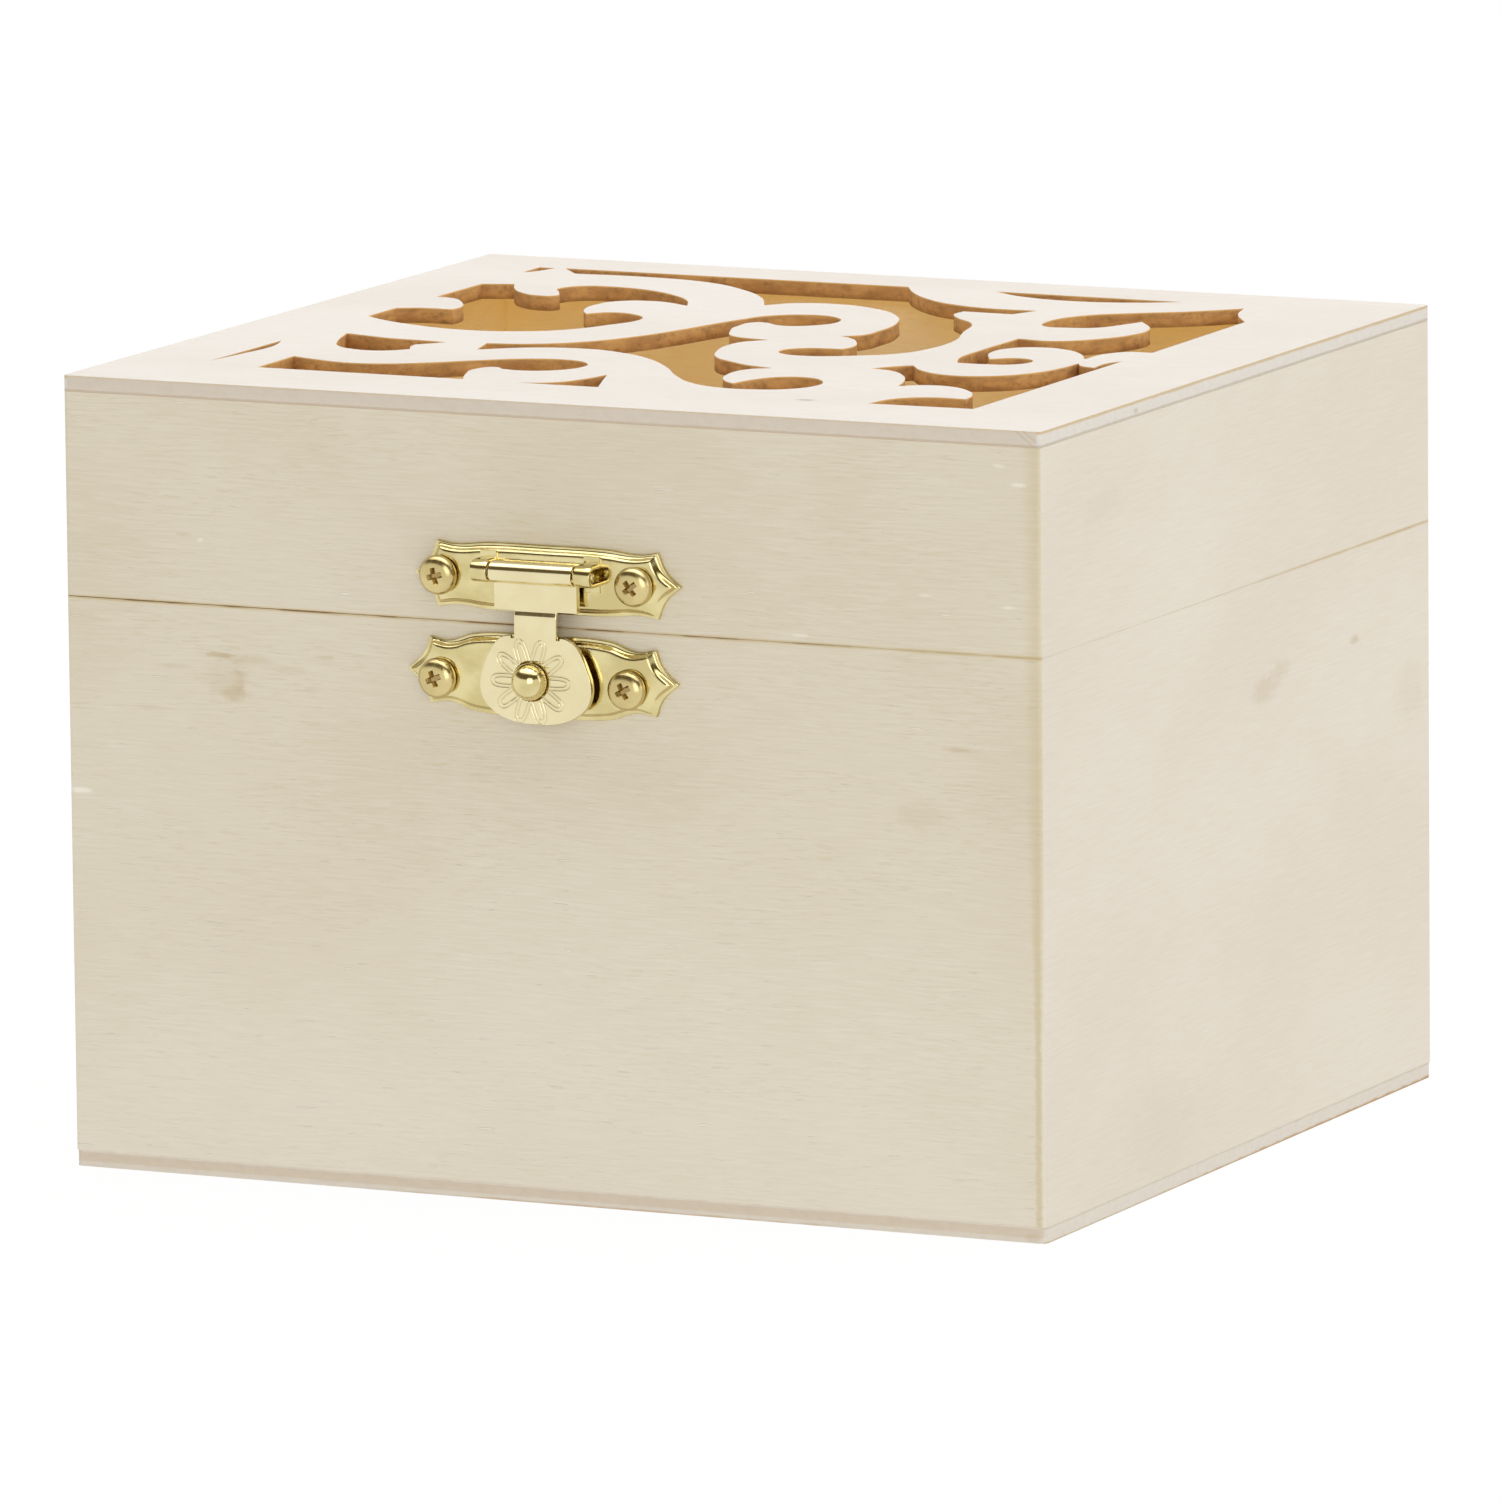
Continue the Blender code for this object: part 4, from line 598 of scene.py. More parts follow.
def golden_strip(tree, place, colour):
    """The veneer sanded through beside the right front corner.

    It is broad and faint above, narrow and ragged below.
    """
    parts = parts_of(tree, place)
    edge_in = maths(tree, "SUBTRACT", BOX_WIDTH / 2 * MM, parts[0])
    middle = spread(tree, parts[2], *STRIP_ENDS, 0.80, 0.70)
    half_width = spread(tree, parts[2], *STRIP_ENDS, 0.34, 0.90)
    softness = spread(tree, parts[2], *STRIP_ENDS, 0.30, 1.60)
    strength = spread(tree, parts[2], *STRIP_ENDS, 0.50, 0.34)
    teeth = maths(tree, "SUBTRACT", cloud(tree, place, (0.35, 0.35, 1.1), 5.0, 0.7), 0.5)
    off_middle = maths(tree, "SUBTRACT", maths(tree, "MULTIPLY_ADD", teeth, 0.8, edge_in), middle)
    past_edge = maths(tree, "SUBTRACT", maths(tree, "ABSOLUTE", off_middle), half_width)
    share = maths(tree, "DIVIDE", past_edge, softness)
    strip = maths(tree, "MULTIPLY", spread(tree, share, -0.6, 0.6, 1.0, 0.0), strength)
    strip = maths(tree, "MULTIPLY", strip, maths(tree, "LESS_THAN", parts[1], 0.0))
    return tint(tree, strip, colour, srgb(208, 188, 136))


def make_front_veneer():
    """Front and back: flecked veneer with its grain across, with painted light that makes it lighter toward
    the foot.
    """
    finish, tree, shader = new_finish("front_veneer")
    place = millimetres(tree)
    grain = placed_group(
        tree, VENEER, place=reordered(tree, place, (0, 2, 1)), ground=srgb(222, 210, 185),
        pale=srgb(234, 225, 205), fleck=srgb(208, 188, 144), fleck_amount=0.24, nick_amount=0.6,
        cloud_amount=0.35,
    )
    parts = parts_of(tree, place)
    # Painted light: the front is painted lighter toward the foot, where more light falls on it.
    painted_foot_light = spread(tree, parts[2], 0.0, PAINTED_FOOT_LIGHT_HEIGHT, 0.42, 0.0)
    colour = tint(tree, painted_foot_light, grain["Colour"], srgb(242, 234, 217))
    colour = spotted(tree, place, colour, FRONT_STAINS_AND_CLASP_SHADOW, srgb(184, 156, 98))
    colour = spotted(tree, place, colour, FRONT_NICKS, srgb(248, 241, 224))
    colour = golden_strip(tree, place, colour)
    golden_share = spread(tree, parts[0], -60.0, 60.0, 1.0, 0.75)
    # The seam's painted shade is strongest toward the left, where the gap opens.
    seam_shade_to_left = spread(tree, parts[0], -57.0, -51.0, 0.1, 1.0)
    seam_shade_to_right = spread(tree, parts[0], 8.0, 56.0, 0.9, 0.1)
    seam_shade_share = maths(tree, "MULTIPLY", seam_shade_to_left, seam_shade_to_right)
    colour = seam_tint_and_painted_shade(tree, place, colour, golden_share, seam_shade_share)
    wood_shader(tree, shader, colour, grain["Height"], relief=0.00006)
    return finish


def make_side_veneer():
    """Left and right: smoother veneer with its grain front to back, and a few smudges."""
    finish, tree, shader = new_finish("side_veneer")
    place = millimetres(tree)
    grain = placed_group(
        tree, VENEER, place=reordered(tree, place, (1, 2, 0)), ground=srgb(224, 213, 196),
        pale=srgb(231, 223, 208), fleck=srgb(212, 194, 162), fleck_amount=0.13, nick_amount=0.0,
        cloud_amount=0.4, wander=1.2,
    )
    colour = spotted(tree, place, grain["Colour"], SIDE_SMUDGES, srgb(186, 160, 112))
    golden_share = spread(tree, parts_of(tree, place)[1], -20.0, 50.0, 0.03, 0.75)
    # Only a faint painted shade in the seam on the sides.
    colour = seam_tint_and_painted_shade(tree, place, colour, golden_share, 0.05)
    wood_shader(tree, shader, colour, grain["Height"], relief=0.00002)
    return finish


def make_top_veneer():
    """Top and underside: the palest of the outer veneers, slightly pink, with its grain across."""
    finish, tree, shader = new_finish("top_veneer")
    place = millimetres(tree)
    grain = placed_group(
        tree, VENEER, place=place, ground=srgb(228, 219, 208), pale=srgb(237, 231, 223),
        fleck=srgb(214, 198, 174), fleck_amount=0.22, nick_amount=0.2, cloud_amount=0.4,
    )
    colour = spotted(tree, place, grain["Colour"], TOP_SMUDGES, srgb(176, 156, 130))
    wood_shader(tree, shader, colour, grain["Height"], relief=0.00004)
    return finish


def make_inside_veneer():
    """Inner faces: raw pale veneer, which turns ochre where light is passed on between the walls."""
    finish, tree, shader = new_finish("inside_veneer")
    place = millimetres(tree)
    grain = placed_group(
        tree, VENEER, place=reordered(tree, place, (0, 2, 1)), ground=srgb(252, 243, 215),
        pale=srgb(254, 248, 223), fleck=srgb(242, 220, 178), fleck_amount=0.3, nick_amount=0.1,
        cloud_amount=0.5,
    )
    wood_shader(tree, shader, grain["Colour"], grain["Height"], relief=0.00005, roughness=0.7)
    return finish


def make_ply_edge(name, plies, colours, from_top, spots, dark, scores=()):
    """Sawn edge of the top or bottom sheet, with plies and colours that run from its outer face.

    A score is a slanting cut that starts at an x on the upper arris.
    """
    finish, tree, shader = new_finish(name)
    place = millimetres(tree)
    parts = parts_of(tree, place)
    depth = maths(tree, "SUBTRACT", BOX_HEIGHT * MM, parts[2]) if from_top else parts[2]
    layers = placed_group(
        tree, LAYERS, place=place, depth=depth, thickness=(TOP_HIGH.z - TOP_LOW.z) * MM, outer_ply=plies[0],
        inner_ply=plies[1], outer_colour=colours[0], core_colour=colours[1], inner_colour=colours[2],
    )
    colour = spotted(tree, place, layers["Colour"], spots, dark)
    for start_x in scores:
        off_line = maths(tree, "SUBTRACT", parts[0], maths(tree, "MULTIPLY_ADD", depth, SCORE_SLANT, start_x))
        line = spread(tree, maths(tree, "ABSOLUTE", off_line), 0.05, 0.30, 0.24, 0.0)
        colour = tint(tree, line, colour, dark)
    wood_shader(tree, shader, colour, layers["Height"], relief=0.00002, roughness=0.75)
    return finish


def make_burnt_cut():
    """Walls of the sawn openings: mottled brown, with painted shade that makes them darkest at the foot, and
    a golden rim at the face.
    """
    finish, tree, shader = new_finish("burnt_cut")
    place = millimetres(tree)
    depth = maths(tree, "SUBTRACT", BOX_HEIGHT * MM, parts_of(tree, place)[2])
    toast = cloud(tree, place, (0.22, 0.22, 0.5), 4.0, 0.65)
    scorch = cloud(tree, place, (0.75, 0.75, 1.1), 5.0, 0.7)
    colour = tint(tree, spread(tree, toast, 0.35, 0.65), srgb(216, 170, 108), srgb(188, 142, 88))
    colour = tint(tree, spread(tree, scorch, 0.46, 0.76, 0.0, 0.6), colour, srgb(120, 88, 58))
    # Painted shade: each wall is painted darker toward its foot, deep in the opening.
    ragged_depth = maths(tree, "ADD", depth, scorch)
    foot = spread(tree, ragged_depth, 1.5, 2.4, 0.0, 0.55)
    colour = tint(tree, foot, colour, srgb(128, 92, 58))
    rim = spread(tree, depth, 0.04, 0.24, 0.9, 0.0)
    colour = tint(tree, rim, colour, srgb(238, 196, 124))
    wood_shader(tree, shader, colour, scorch, relief=0.00005, roughness=0.8)
    return finish


def make_sawn_edge():
    """Edges of the walls that show in the seam."""
    finish, tree, shader = new_finish("sawn_edge")
    place = millimetres(tree)
    grain = cloud(tree, place, (0.8, 0.8, 2.0), 3.0, 0.6)
    colour = tint(tree, grain, srgb(196, 158, 108), srgb(226, 200, 158))
    wood_shader(tree, shader, colour, grain, relief=0.00006, roughness=0.75)
    return finish


def make_brass(name, bright, tarnish, smooth, rough, cloudiness):
    """Plated brass; also gives its tree, shader and plating, for what is cut or painted on it."""
    finish, tree, shader = new_finish(name)
    plating = placed_group(
        tree, PLATING, place=millimetres(tree), smooth=smooth, rough=rough, bright=bright, tarnish=tarnish,
        cloudiness=cloudiness,
    )
    shader.inputs["Metallic"].default_value = 1.0
    tree.links.new(plating["Colour"], shader.inputs["Base Color"])
    tree.links.new(plating["Roughness"], shader.inputs["Roughness"])
    bump(tree, shader, plating["Height"], distance=0.00001)
    return finish, tree, shader, plating


def make_engraved_brass():
    """The hasp's plating, with a flower of ten double petals cut round the knob's hole."""
    finish, tree, shader, plating = make_brass(
        "engraved_brass", srgb(234, 222, 180), srgb(186, 164, 104), smooth=0.11, rough=0.19, cloudiness=0.12
    )
    parts = parts_of(tree, millimetres(tree))
    across = maths(tree, "SUBTRACT", parts[0], KNOB_X * MM)
    up = maths(tree, "SUBTRACT", parts[2], KNOB_Z * MM)
    squares = maths(tree, "ADD", maths(tree, "MULTIPLY", across, across), maths(tree, "MULTIPLY", up, up))
    radius = maths(tree, "SQRT", squares)
    petal_turn = 2 * math.pi / PETAL_COUNT
    petal = maths(tree, "DIVIDE", maths(tree, "ARCTAN2", up, across), petal_turn)
    within_petal = maths(tree, "FRACT", maths(tree, "ADD", petal, PETAL_COUNT + 0.5))
    folded = maths(tree, "MULTIPLY", maths(tree, "SUBTRACT", within_petal, 0.5), radius)
    aside = maths(tree, "ABSOLUTE", maths(tree, "MULTIPLY", folded, petal_turn))
    share = spread_linear(tree, radius, PETAL_INNER, PETAL_OUTER)
    lines = 0.0
    for reach, half_width in PETAL_LINES:
        along = maths(tree, "DIVIDE", share, reach)
        rounded = maths(tree, "SUBTRACT", 1.0, maths(tree, "POWER", along, PETAL_FULLNESS), clamp=True)
        outline = maths(tree, "MULTIPLY", maths(tree, "SQRT", rounded), half_width)
        past_tip = maths(tree, "MULTIPLY", maths(tree, "GREATER_THAN", along, 1.0), OUT_OF_REACH)
        off_line = maths(tree, "ABSOLUTE", maths(tree, "SUBTRACT", aside, outline))
        off_line = maths(tree, "ADD", off_line, past_tip)
        line = spread(tree, off_line, *PETAL_LINE_REACH, 1.0, 0.0)
        lines = maths(tree, "ADD", lines, line, clamp=True)
    past_start = maths(tree, "GREATER_THAN", share, 0.001)
    within = maths(tree, "MULTIPLY", past_start, maths(tree, "LESS_THAN", share, 0.999))
    on_face = maths(tree, "LESS_THAN", parts[1], (FRONT_Y - PADDLE_OUT) * MM)
    lines = maths(tree, "MULTIPLY", maths(tree, "MULTIPLY", lines, within), on_face)
    colour = tint(tree, maths(tree, "MULTIPLY", lines, 0.30), plating["Colour"], srgb(168, 146, 86))
    tree.links.new(colour, shader.inputs["Base Color"])
    height = maths(tree, "SUBTRACT", maths(tree, "MULTIPLY", plating["Height"], 0.1), lines)
    bump(tree, shader, height, distance=0.00003)
    return finish


def make_screw_brass():
    """The screws' thicker, duller plating, dark in the cross recess."""
    finish, tree, shader, plating = make_brass(
        "screw_brass", srgb(216, 198, 142), srgb(150, 124, 70), smooth=0.20, rough=0.34, cloudiness=0.25
    )
    recess = add_node(tree, "ShaderNodeAttribute", attribute_name="recess").outputs["Fac"]
    colour = tint(tree, maths(tree, "MULTIPLY", recess, 0.6), plating["Colour"], srgb(140, 104, 54))
    tree.links.new(colour, shader.inputs["Base Color"])
    return finish


VENEER = make_veneer_group()
LAYERS = make_layers_group()
SOFT_SPOT = make_soft_spot_group()
PLATING = make_plating_group()

FRONT_VENEER = make_front_veneer()
SIDE_VENEER = make_side_veneer()
TOP_VENEER = make_top_veneer()
INSIDE_VENEER = make_inside_veneer()
TOP_END_GRAIN = make_ply_edge(
    "top_edge_front", plies=(0.22, 0.25),
    colours=(srgb(220, 202, 176), srgb(221, 209, 192), srgb(206, 190, 168)),
    from_top=True, spots=[], dark=srgb(176, 148, 116), scores=(57.0, 57.9),
)
TOP_LONG_GRAIN = make_ply_edge(
    "top_edge_side", plies=(0.33, 0.30),
    colours=(srgb(212, 190, 154), srgb(227, 220, 210), srgb(204, 194, 178)),
    from_top=True, spots=TOP_EDGE_SPOTS, dark=srgb(164, 138, 108),
)
UNDER_END_GRAIN = make_ply_edge(
    "bottom_edge_front", plies=(0.60, 0.14),
    colours=(srgb(226, 216, 200), srgb(219, 204, 182), srgb(232, 224, 208)),
    from_top=False, spots=UNDER_FRONT_SPOTS, dark=srgb(186, 150, 96),
)
UNDER_LONG_GRAIN = make_ply_edge(
    "bottom_edge_side", plies=(0.16, 0.20),
    colours=(srgb(200, 182, 150), srgb(224, 216, 203), srgb(212, 203, 188)),
    from_top=False, spots=UNDER_SIDE_SPOTS, dark=srgb(184, 144, 88),
)
BURNT_CUT = make_burnt_cut()
SAWN_EDGE = make_sawn_edge()
PLATE_BRASS = make_brass(
    "plate_brass", srgb(227, 213, 160), srgb(184, 166, 104), smooth=0.10, rough=0.18, cloudiness=0.50
)[0]
ENGRAVED_BRASS = make_engraved_brass()
SCREW_BRASS = make_screw_brass()


# Objects and meshes
def put_in_scene(name, data):
    """A new object at the origin that shows the data."""
    made = bpy.data.objects.new(name, data)
    bpy.context.scene.collection.objects.link(made)
    return made


def mesh_as_shown(thing):
    """The mesh that an object's modifiers or curve give, as a mesh of its own; the object is dropped."""
    bpy.context.view_layer.update()
    made = bpy.data.meshes.new_from_object(thing.evaluated_get(bpy.context.evaluated_depsgraph_get()))
    bpy.data.objects.remove(thing)
    return made


def add_piece(name, mesh, body, nodes, finishes=()):
    """Shows a mesh that is already in its place, on its body and instead of its solids."""
    for finish in finishes:
        mesh.materials.append(finish)
    piece = put_in_scene(name, mesh)
    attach(piece, body)
    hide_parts(*nodes)


def paint(mesh, finishes, choose):
    """Gives the mesh its finishes, and each face the one that choose gives for it."""
    for finish in finishes:
        mesh.materials.append(finish)
    for face in mesh.polygons:
        face.material_index = finishes.index(choose(face))


def mesh_from(name, bm):
    mesh = bpy.data.meshes.new(name)
    bm.to_mesh(mesh)
    bm.free()
    return mesh


def closed(bm):
    """Merges doubled points and turns every face outwards."""
    bmesh.ops.remove_doubles(bm, verts=bm.verts, dist=WELD_DISTANCE)
    bmesh.ops.recalc_face_normals(bm, faces=bm.faces)


def smooth_all_but(mesh, is_flat):
    """Smooth shading broken at sharp edges, and none on the faces that are flat."""
    mesh.shade_smooth()
    mesh.set_sharp_from_angle(angle=SMOOTH_ANGLE)
    for face in mesh.polygons:
        if is_flat(face.normal):
            face.use_smooth = False
    return mesh


def steadied(mesh):
    """The mesh with shading that follows its larger faces, so that a flat stays flat up to its soft edge."""
    holder = put_in_scene(mesh.name, mesh)
    weighting = holder.modifiers.new("steadied", "WEIGHTED_NORMAL")
    weighting.keep_sharp = True
    made = mesh_as_shown(holder)
    bpy.data.meshes.remove(mesh)
    return made


def along_an_axis(normal):
    return max(abs(part) for part in normal) > FLAT


def facing_up_or_down(normal):
    return abs(normal.z) > FLAT


def never(normal):
    return False


def is_upright(edge):
    first, second = edge.verts[0].co, edge.verts[1].co
    return abs(first.x - second.x) + abs(first.y - second.y) < WELD_DISTANCE


def board_mesh(name, low, high, corners, sharp_end):
    """A board with softened arrises but for those at its sharp end, 1 for the top and -1 for the foot.

    corners lists the (x side, y side) signs of its rounded upright edges; the others stay sharp, where it
    meets the next board.
    """
    low, high = Vector(low), Vector(high)
    bm = bmesh.new()
    bmesh.ops.create_cube(bm, size=1)
    bmesh.ops.scale(bm, vec=high - low, verts=bm.verts)
    chosen = []
    for edge in bm.edges:
        place = edge.verts[0].co
        if is_upright(edge) and (math.copysign(1, place.x), math.copysign(1, place.y)) in corners:
            chosen.append(edge)
    if chosen:
        bmesh.ops.bevel(
            bm, geom=chosen, offset=WALL_CORNER_RADIUS, segments=CORNER_STEPS, affect="EDGES", profile=0.5
        )
    softened = []
    for edge in bm.edges:
        at_sharp_end = edge.verts[0].co.z * sharp_end > 0
        if not is_upright(edge) and not at_sharp_end and edge.calc_face_angle(0) > SQUARE_EDGE_ANGLE:
            softened.append(edge)
    bmesh.ops.bevel(bm, geom=softened, offset=BOARD_ARRIS, segments=ARRIS_STEPS, affect="EDGES", profile=0.5)
    bmesh.ops.translate(bm, vec=(low + high) / 2, verts=bm.verts)
    closed(bm)
    return smooth_all_but(mesh_from(name, bm), along_an_axis)


def drawn_outlines(outlines, steps):
    """A curve of closed outlines of (x, y, kind) points."""
    curve = bpy.data.curves.new("outline", "CURVE")
    curve.dimensions = "2D"
    curve.resolution_u = steps
    for outline in outlines:
        spline = curve.splines.new("BEZIER")
        spline.bezier_points.add(len(outline) - 1)
        for knot, (x, y, kind) in zip(spline.bezier_points, outline):
            knot.co = (x, y, 0)
            knot.handle_left_type = kind
            knot.handle_right_type = kind
        spline.use_cyclic_u = True
    return curve


def cut_sheet(outlines, thickness, steps, arris):
    """A flat sheet from z = 0 to its thickness with rounded arrises; the later outlines are its openings."""
    curve = drawn_outlines(outlines, steps)
    curve.fill_mode = "BOTH"
    curve.extrude = thickness / 2 - arris
    curve.bevel_depth = arris
    curve.bevel_resolution = 1
    curve.offset = -arris
    bm = bmesh.new()
    bm.from_mesh(mesh_as_shown(put_in_scene(curve.name, curve)))
    bmesh.ops.translate(bm, vec=(0, 0, thickness / 2), verts=bm.verts)
    closed(bm)
    return bm


def outline_points(outline, steps):
    """The closed outline as a list of points in order."""
    curve = drawn_outlines([outline], steps)
    curve.fill_mode = "NONE"
    mesh = mesh_as_shown(put_in_scene(curve.name, curve))
    return [vertex.co.to_2d() for vertex in mesh.vertices]


def circle_outline(centre_x, centre_y, radius, points=8):
    angles = [2 * math.pi * step / points for step in range(points)]
    return [(centre_x + radius * math.cos(a), centre_y + radius * math.sin(a), ROUND) for a in angles]


def rounded_rectangle(low_x, low_y, high_x, high_y, radius):
    """Corner arcs as points with straight handles between them."""
    points = []
    for corner, (x, y) in enumerate(((high_x, high_y), (low_x, high_y), (low_x, low_y), (high_x, low_y))):
        middle_x = x - radius if x == high_x else x + radius
        middle_y = y - radius if y == high_y else y + radius
        for step in range(CORNER_STEPS + 1):
            angle = math.radians(90) * (corner + step / CORNER_STEPS)
            points.append((middle_x + radius * math.cos(angle), middle_y + radius * math.sin(angle), CORNER))
    return points


def turned_mesh(name, section, steps):
    """A section of (radius, height) points, from axis to axis, turned round z."""
    bm = bmesh.new()
    points = [bm.verts.new((radius, 0, height)) for radius, height in section]
    edges = [bm.edges.new(pair) for pair in zip(points, points[1:])]
    bmesh.ops.spin(bm, geom=points + edges, cent=(0, 0, 0), axis=(0, 0, 1), angle=2 * math.pi, steps=steps)
    closed(bm)
    return smooth_all_but(mesh_from(name, bm), never)


def bent_line(start, heading, moves):
    """The middle line of a bent sheet, drawn in (out, up): moves are (length, turn to the left).

    Returns a function from a distance along it to the place and the direction there, and the distances at
    which the sheet needs an edge across it.
    """
    runs = []
    edges = [0.0]
    place, angle, reached = Vector(start), heading, 0.0
    for length, turn in moves:
        runs.append((reached, length, turn, place, angle))
        steps = max(1, math.ceil(abs(turn) / BEND_STEP))
        edges += [reached + length * (step + 1) / steps for step in range(steps)]
        place = along_run(place, angle, length, turn, length)
        angle += turn
        reached += length

    def at(distance):
        begun = [run for run in runs if run[0] <= distance + WELD_DISTANCE] or runs[:1]
        start_of_run, length, turn, place, angle = max(begun, key=lambda run: run[0])
        gone = distance - start_of_run
        return along_run(place, angle, length, turn, gone), angle + turn * gone / length

    return at, edges


def along_run(place, angle, length, turn, gone):
    """The place that is reached after going some way along one straight or evenly bent run."""
    if abs(turn) < STRAIGHT_TURN:
        return place + gone * Vector((math.cos(angle), math.sin(angle)))
    radius = length / turn
    centre = place + radius * Vector((-math.sin(angle), math.cos(angle)))
    angle += turn * gone / length
    return centre + radius * Vector((math.sin(angle), -math.cos(angle)))


def bend_sheet(bm, line, thickness):
    """Bends a flat sheet along its y, so that y and z turn into up and out; x stays.

    y is taken as the distance along the middle line, and z as the height over the sheet's back.
    """
    at, edges = line
    for distance in edges:
        bmesh.ops.bisect_plane(
            bm, geom=list(bm.verts) + list(bm.edges) + list(bm.faces), dist=WELD_DISTANCE,
            plane_co=(0, distance, 0), plane_no=(0, 1, 0),
        )
    for vertex in bm.verts:
        place, angle = at(vertex.co.y)
        off = vertex.co.z - thickness / 2
        out = place.x + off * math.sin(angle)
        up = place.y - off * math.cos(angle)
        vertex.co = (vertex.co.x, up, out)
    bmesh.ops.recalc_face_normals(bm, faces=bm.faces)


def put_in(bm, mesh):
    """Adds a mesh to the one being built, and drops it."""
    bm.from_mesh(mesh)
    bpy.data.meshes.remove(mesh)


# Wooden pieces
def seam_gap(x, y):
    """The lid rests on its right front corner, so the seam opens to the left and to the back."""
    left = (BOX_WIDTH / 2 - x) / BOX_WIDTH
    back = (y - FRONT_Y) / BOX_DEPTH
    return SEAM_GAP_FRONT_RIGHT + left * SEAM_GAP_WIDENING_LEFT + back * SEAM_GAP_WIDENING_BACK


def make_wall(prefix, side, low, high, corners, outward):
    """One wall: front or side veneer by the way an outer face looks, raw inside, sawn at top and foot."""
    name = f"{prefix}_{side}_wall"
    mesh = board_mesh(name, low, high, corners, 1 if prefix == "base" else -1)
    if prefix == "lid":
        middle = (low[2] + high[2]) / 2
        for vertex in mesh.vertices:
            if vertex.co.z < middle:
                vertex.co.z += seam_gap(vertex.co.x, vertex.co.y)

    def finish_of(face):
        if face.normal.dot(outward) < -FACING:
            return INSIDE_VENEER
        if abs(face.normal.z) > FACING:
            return SAWN_EDGE
        return SIDE_VENEER if abs(face.normal.x) > abs(face.normal.y) else FRONT_VENEER

    paint(mesh, (FRONT_VENEER, SIDE_VENEER, INSIDE_VENEER, SAWN_EDGE), finish_of)
    add_piece(name, mesh, prefix, [f"{prefix}_{side}_panel"])


def make_walls(prefix, bottom, top):
    """Front and back run the full width; the sides stand between them, with no gap left at the joint."""
    left, right = -BOX_WIDTH / 2, BOX_WIDTH / 2
    inner_front, inner_back = FRONT_Y + WALL_PLY, BACK_Y - WALL_PLY
    walls = (
        ("front", (left, FRONT_Y), (right, inner_front), ((-1, -1), (1, -1)), (0, -1, 0)),
        ("back", (left, inner_back), (right, BACK_Y), ((-1, 1), (1, 1)), (0, 1, 0)),
        ("left", (left, inner_front), (left + WALL_PLY, inner_back), (), (-1, 0, 0)),
        ("right", (right - WALL_PLY, inner_front), (right, inner_back), (), (1, 0, 0)),
    )
    for side, low, high, corners, outward in walls:
        make_wall(prefix, side, (*low, bottom), (*high, top), corners, Vector(outward))


def make_bottom():
    """The bottom sheet, under the walls of the base."""
    outline = rounded_rectangle(-BOX_WIDTH / 2, FRONT_Y, BOX_WIDTH / 2, BACK_Y, UNDER_CORNER_RADIUS)
    bm = cut_sheet([outline], UNDER_HIGH.z - UNDER_LOW.z, 1, BOARD_ARRIS)
    mesh = smooth_all_but(mesh_from("bottom_sheet", bm), facing_up_or_down)

    def finish_of(face):
        if abs(face.normal.z) < FACING:
            return UNDER_END_GRAIN if abs(face.normal.y) > abs(face.normal.x) else UNDER_LONG_GRAIN
        return INSIDE_VENEER if face.normal.z > 0 else TOP_VENEER

    paint(mesh, (TOP_VENEER, INSIDE_VENEER, UNDER_END_GRAIN, UNDER_LONG_GRAIN), finish_of)
    add_piece("bottom_sheet", mesh, "base", ["bottom_panel"])


def make_fretwork():
    """The top sheet with its eleven openings, burnt brown where they are sawn."""
    field_width = BOX_WIDTH - FRET_LEFT_MARGIN - FRET_RIGHT_MARGIN
    field_depth = BOX_DEPTH - FRET_FRONT_MARGIN - FRET_BACK_MARGIN
    left = -BOX_WIDTH / 2 + FRET_LEFT_MARGIN
    front = FRONT_Y + FRET_FRONT_MARGIN
    outlines = [rounded_rectangle(-BOX_WIDTH / 2, FRONT_Y, BOX_WIDTH / 2, BACK_Y, TOP_CORNER_RADIUS)]
    for shares in FRET_OPENING_SHARES.values():
        outlines.append([(left + u * field_width, front + v * field_depth, kind) for u, v, kind in shares])
    bm = cut_sheet(outlines, TOP_HIGH.z - TOP_LOW.z, FRET_CURVE_STEPS, FRET_ARRIS)
    bmesh.ops.translate(bm, vec=(0, 0, TOP_UNDERSIDE_Z), verts=bm.verts)
    mesh = smooth_all_but(mesh_from("fretwork_top", bm), facing_up_or_down)

    def finish_of(face):
        if face.normal.z < -FACING:
            return INSIDE_VENEER
        if face.normal.z >= FACING:
            return TOP_VENEER
        if abs(face.center.x) > BOX_WIDTH / 2 - FRET_LEFT_MARGIN / 2:
            return TOP_LONG_GRAIN
        if FRONT_Y + FRET_BACK_MARGIN / 2 <= face.center.y <= BACK_Y - FRET_BACK_MARGIN / 2:
            return BURNT_CUT
        return TOP_END_GRAIN

    paint(mesh, (TOP_VENEER, INSIDE_VENEER, TOP_END_GRAIN, TOP_LONG_GRAIN, BURNT_CUT), finish_of)
    add_piece("fretwork_top", mesh, "lid", ["fretwork_top_panel"])


# Pieces of the clasp
def plate_outline(shares, half_length, half_height):
    """The whole outline from its quarter, clockwise from the top."""
    quarter = [(x * half_length, y * half_height, kind) for x, y, kind in shares]
    inner, middle, end = quarter[1:-1], quarter[0], quarter[-1]
    top_right = [middle] + inner
    bottom_right = [(x, -y, kind) for x, y, kind in reversed(inner)]
    bottom_left = [(-x, -y, kind) for x, y, kind in top_right]
    top_left = [(-x, y, kind) for x, y, kind in reversed(inner)]
    return top_right + [end] + bottom_right + bottom_left + [(-end[0], 0, end[2])] + top_left


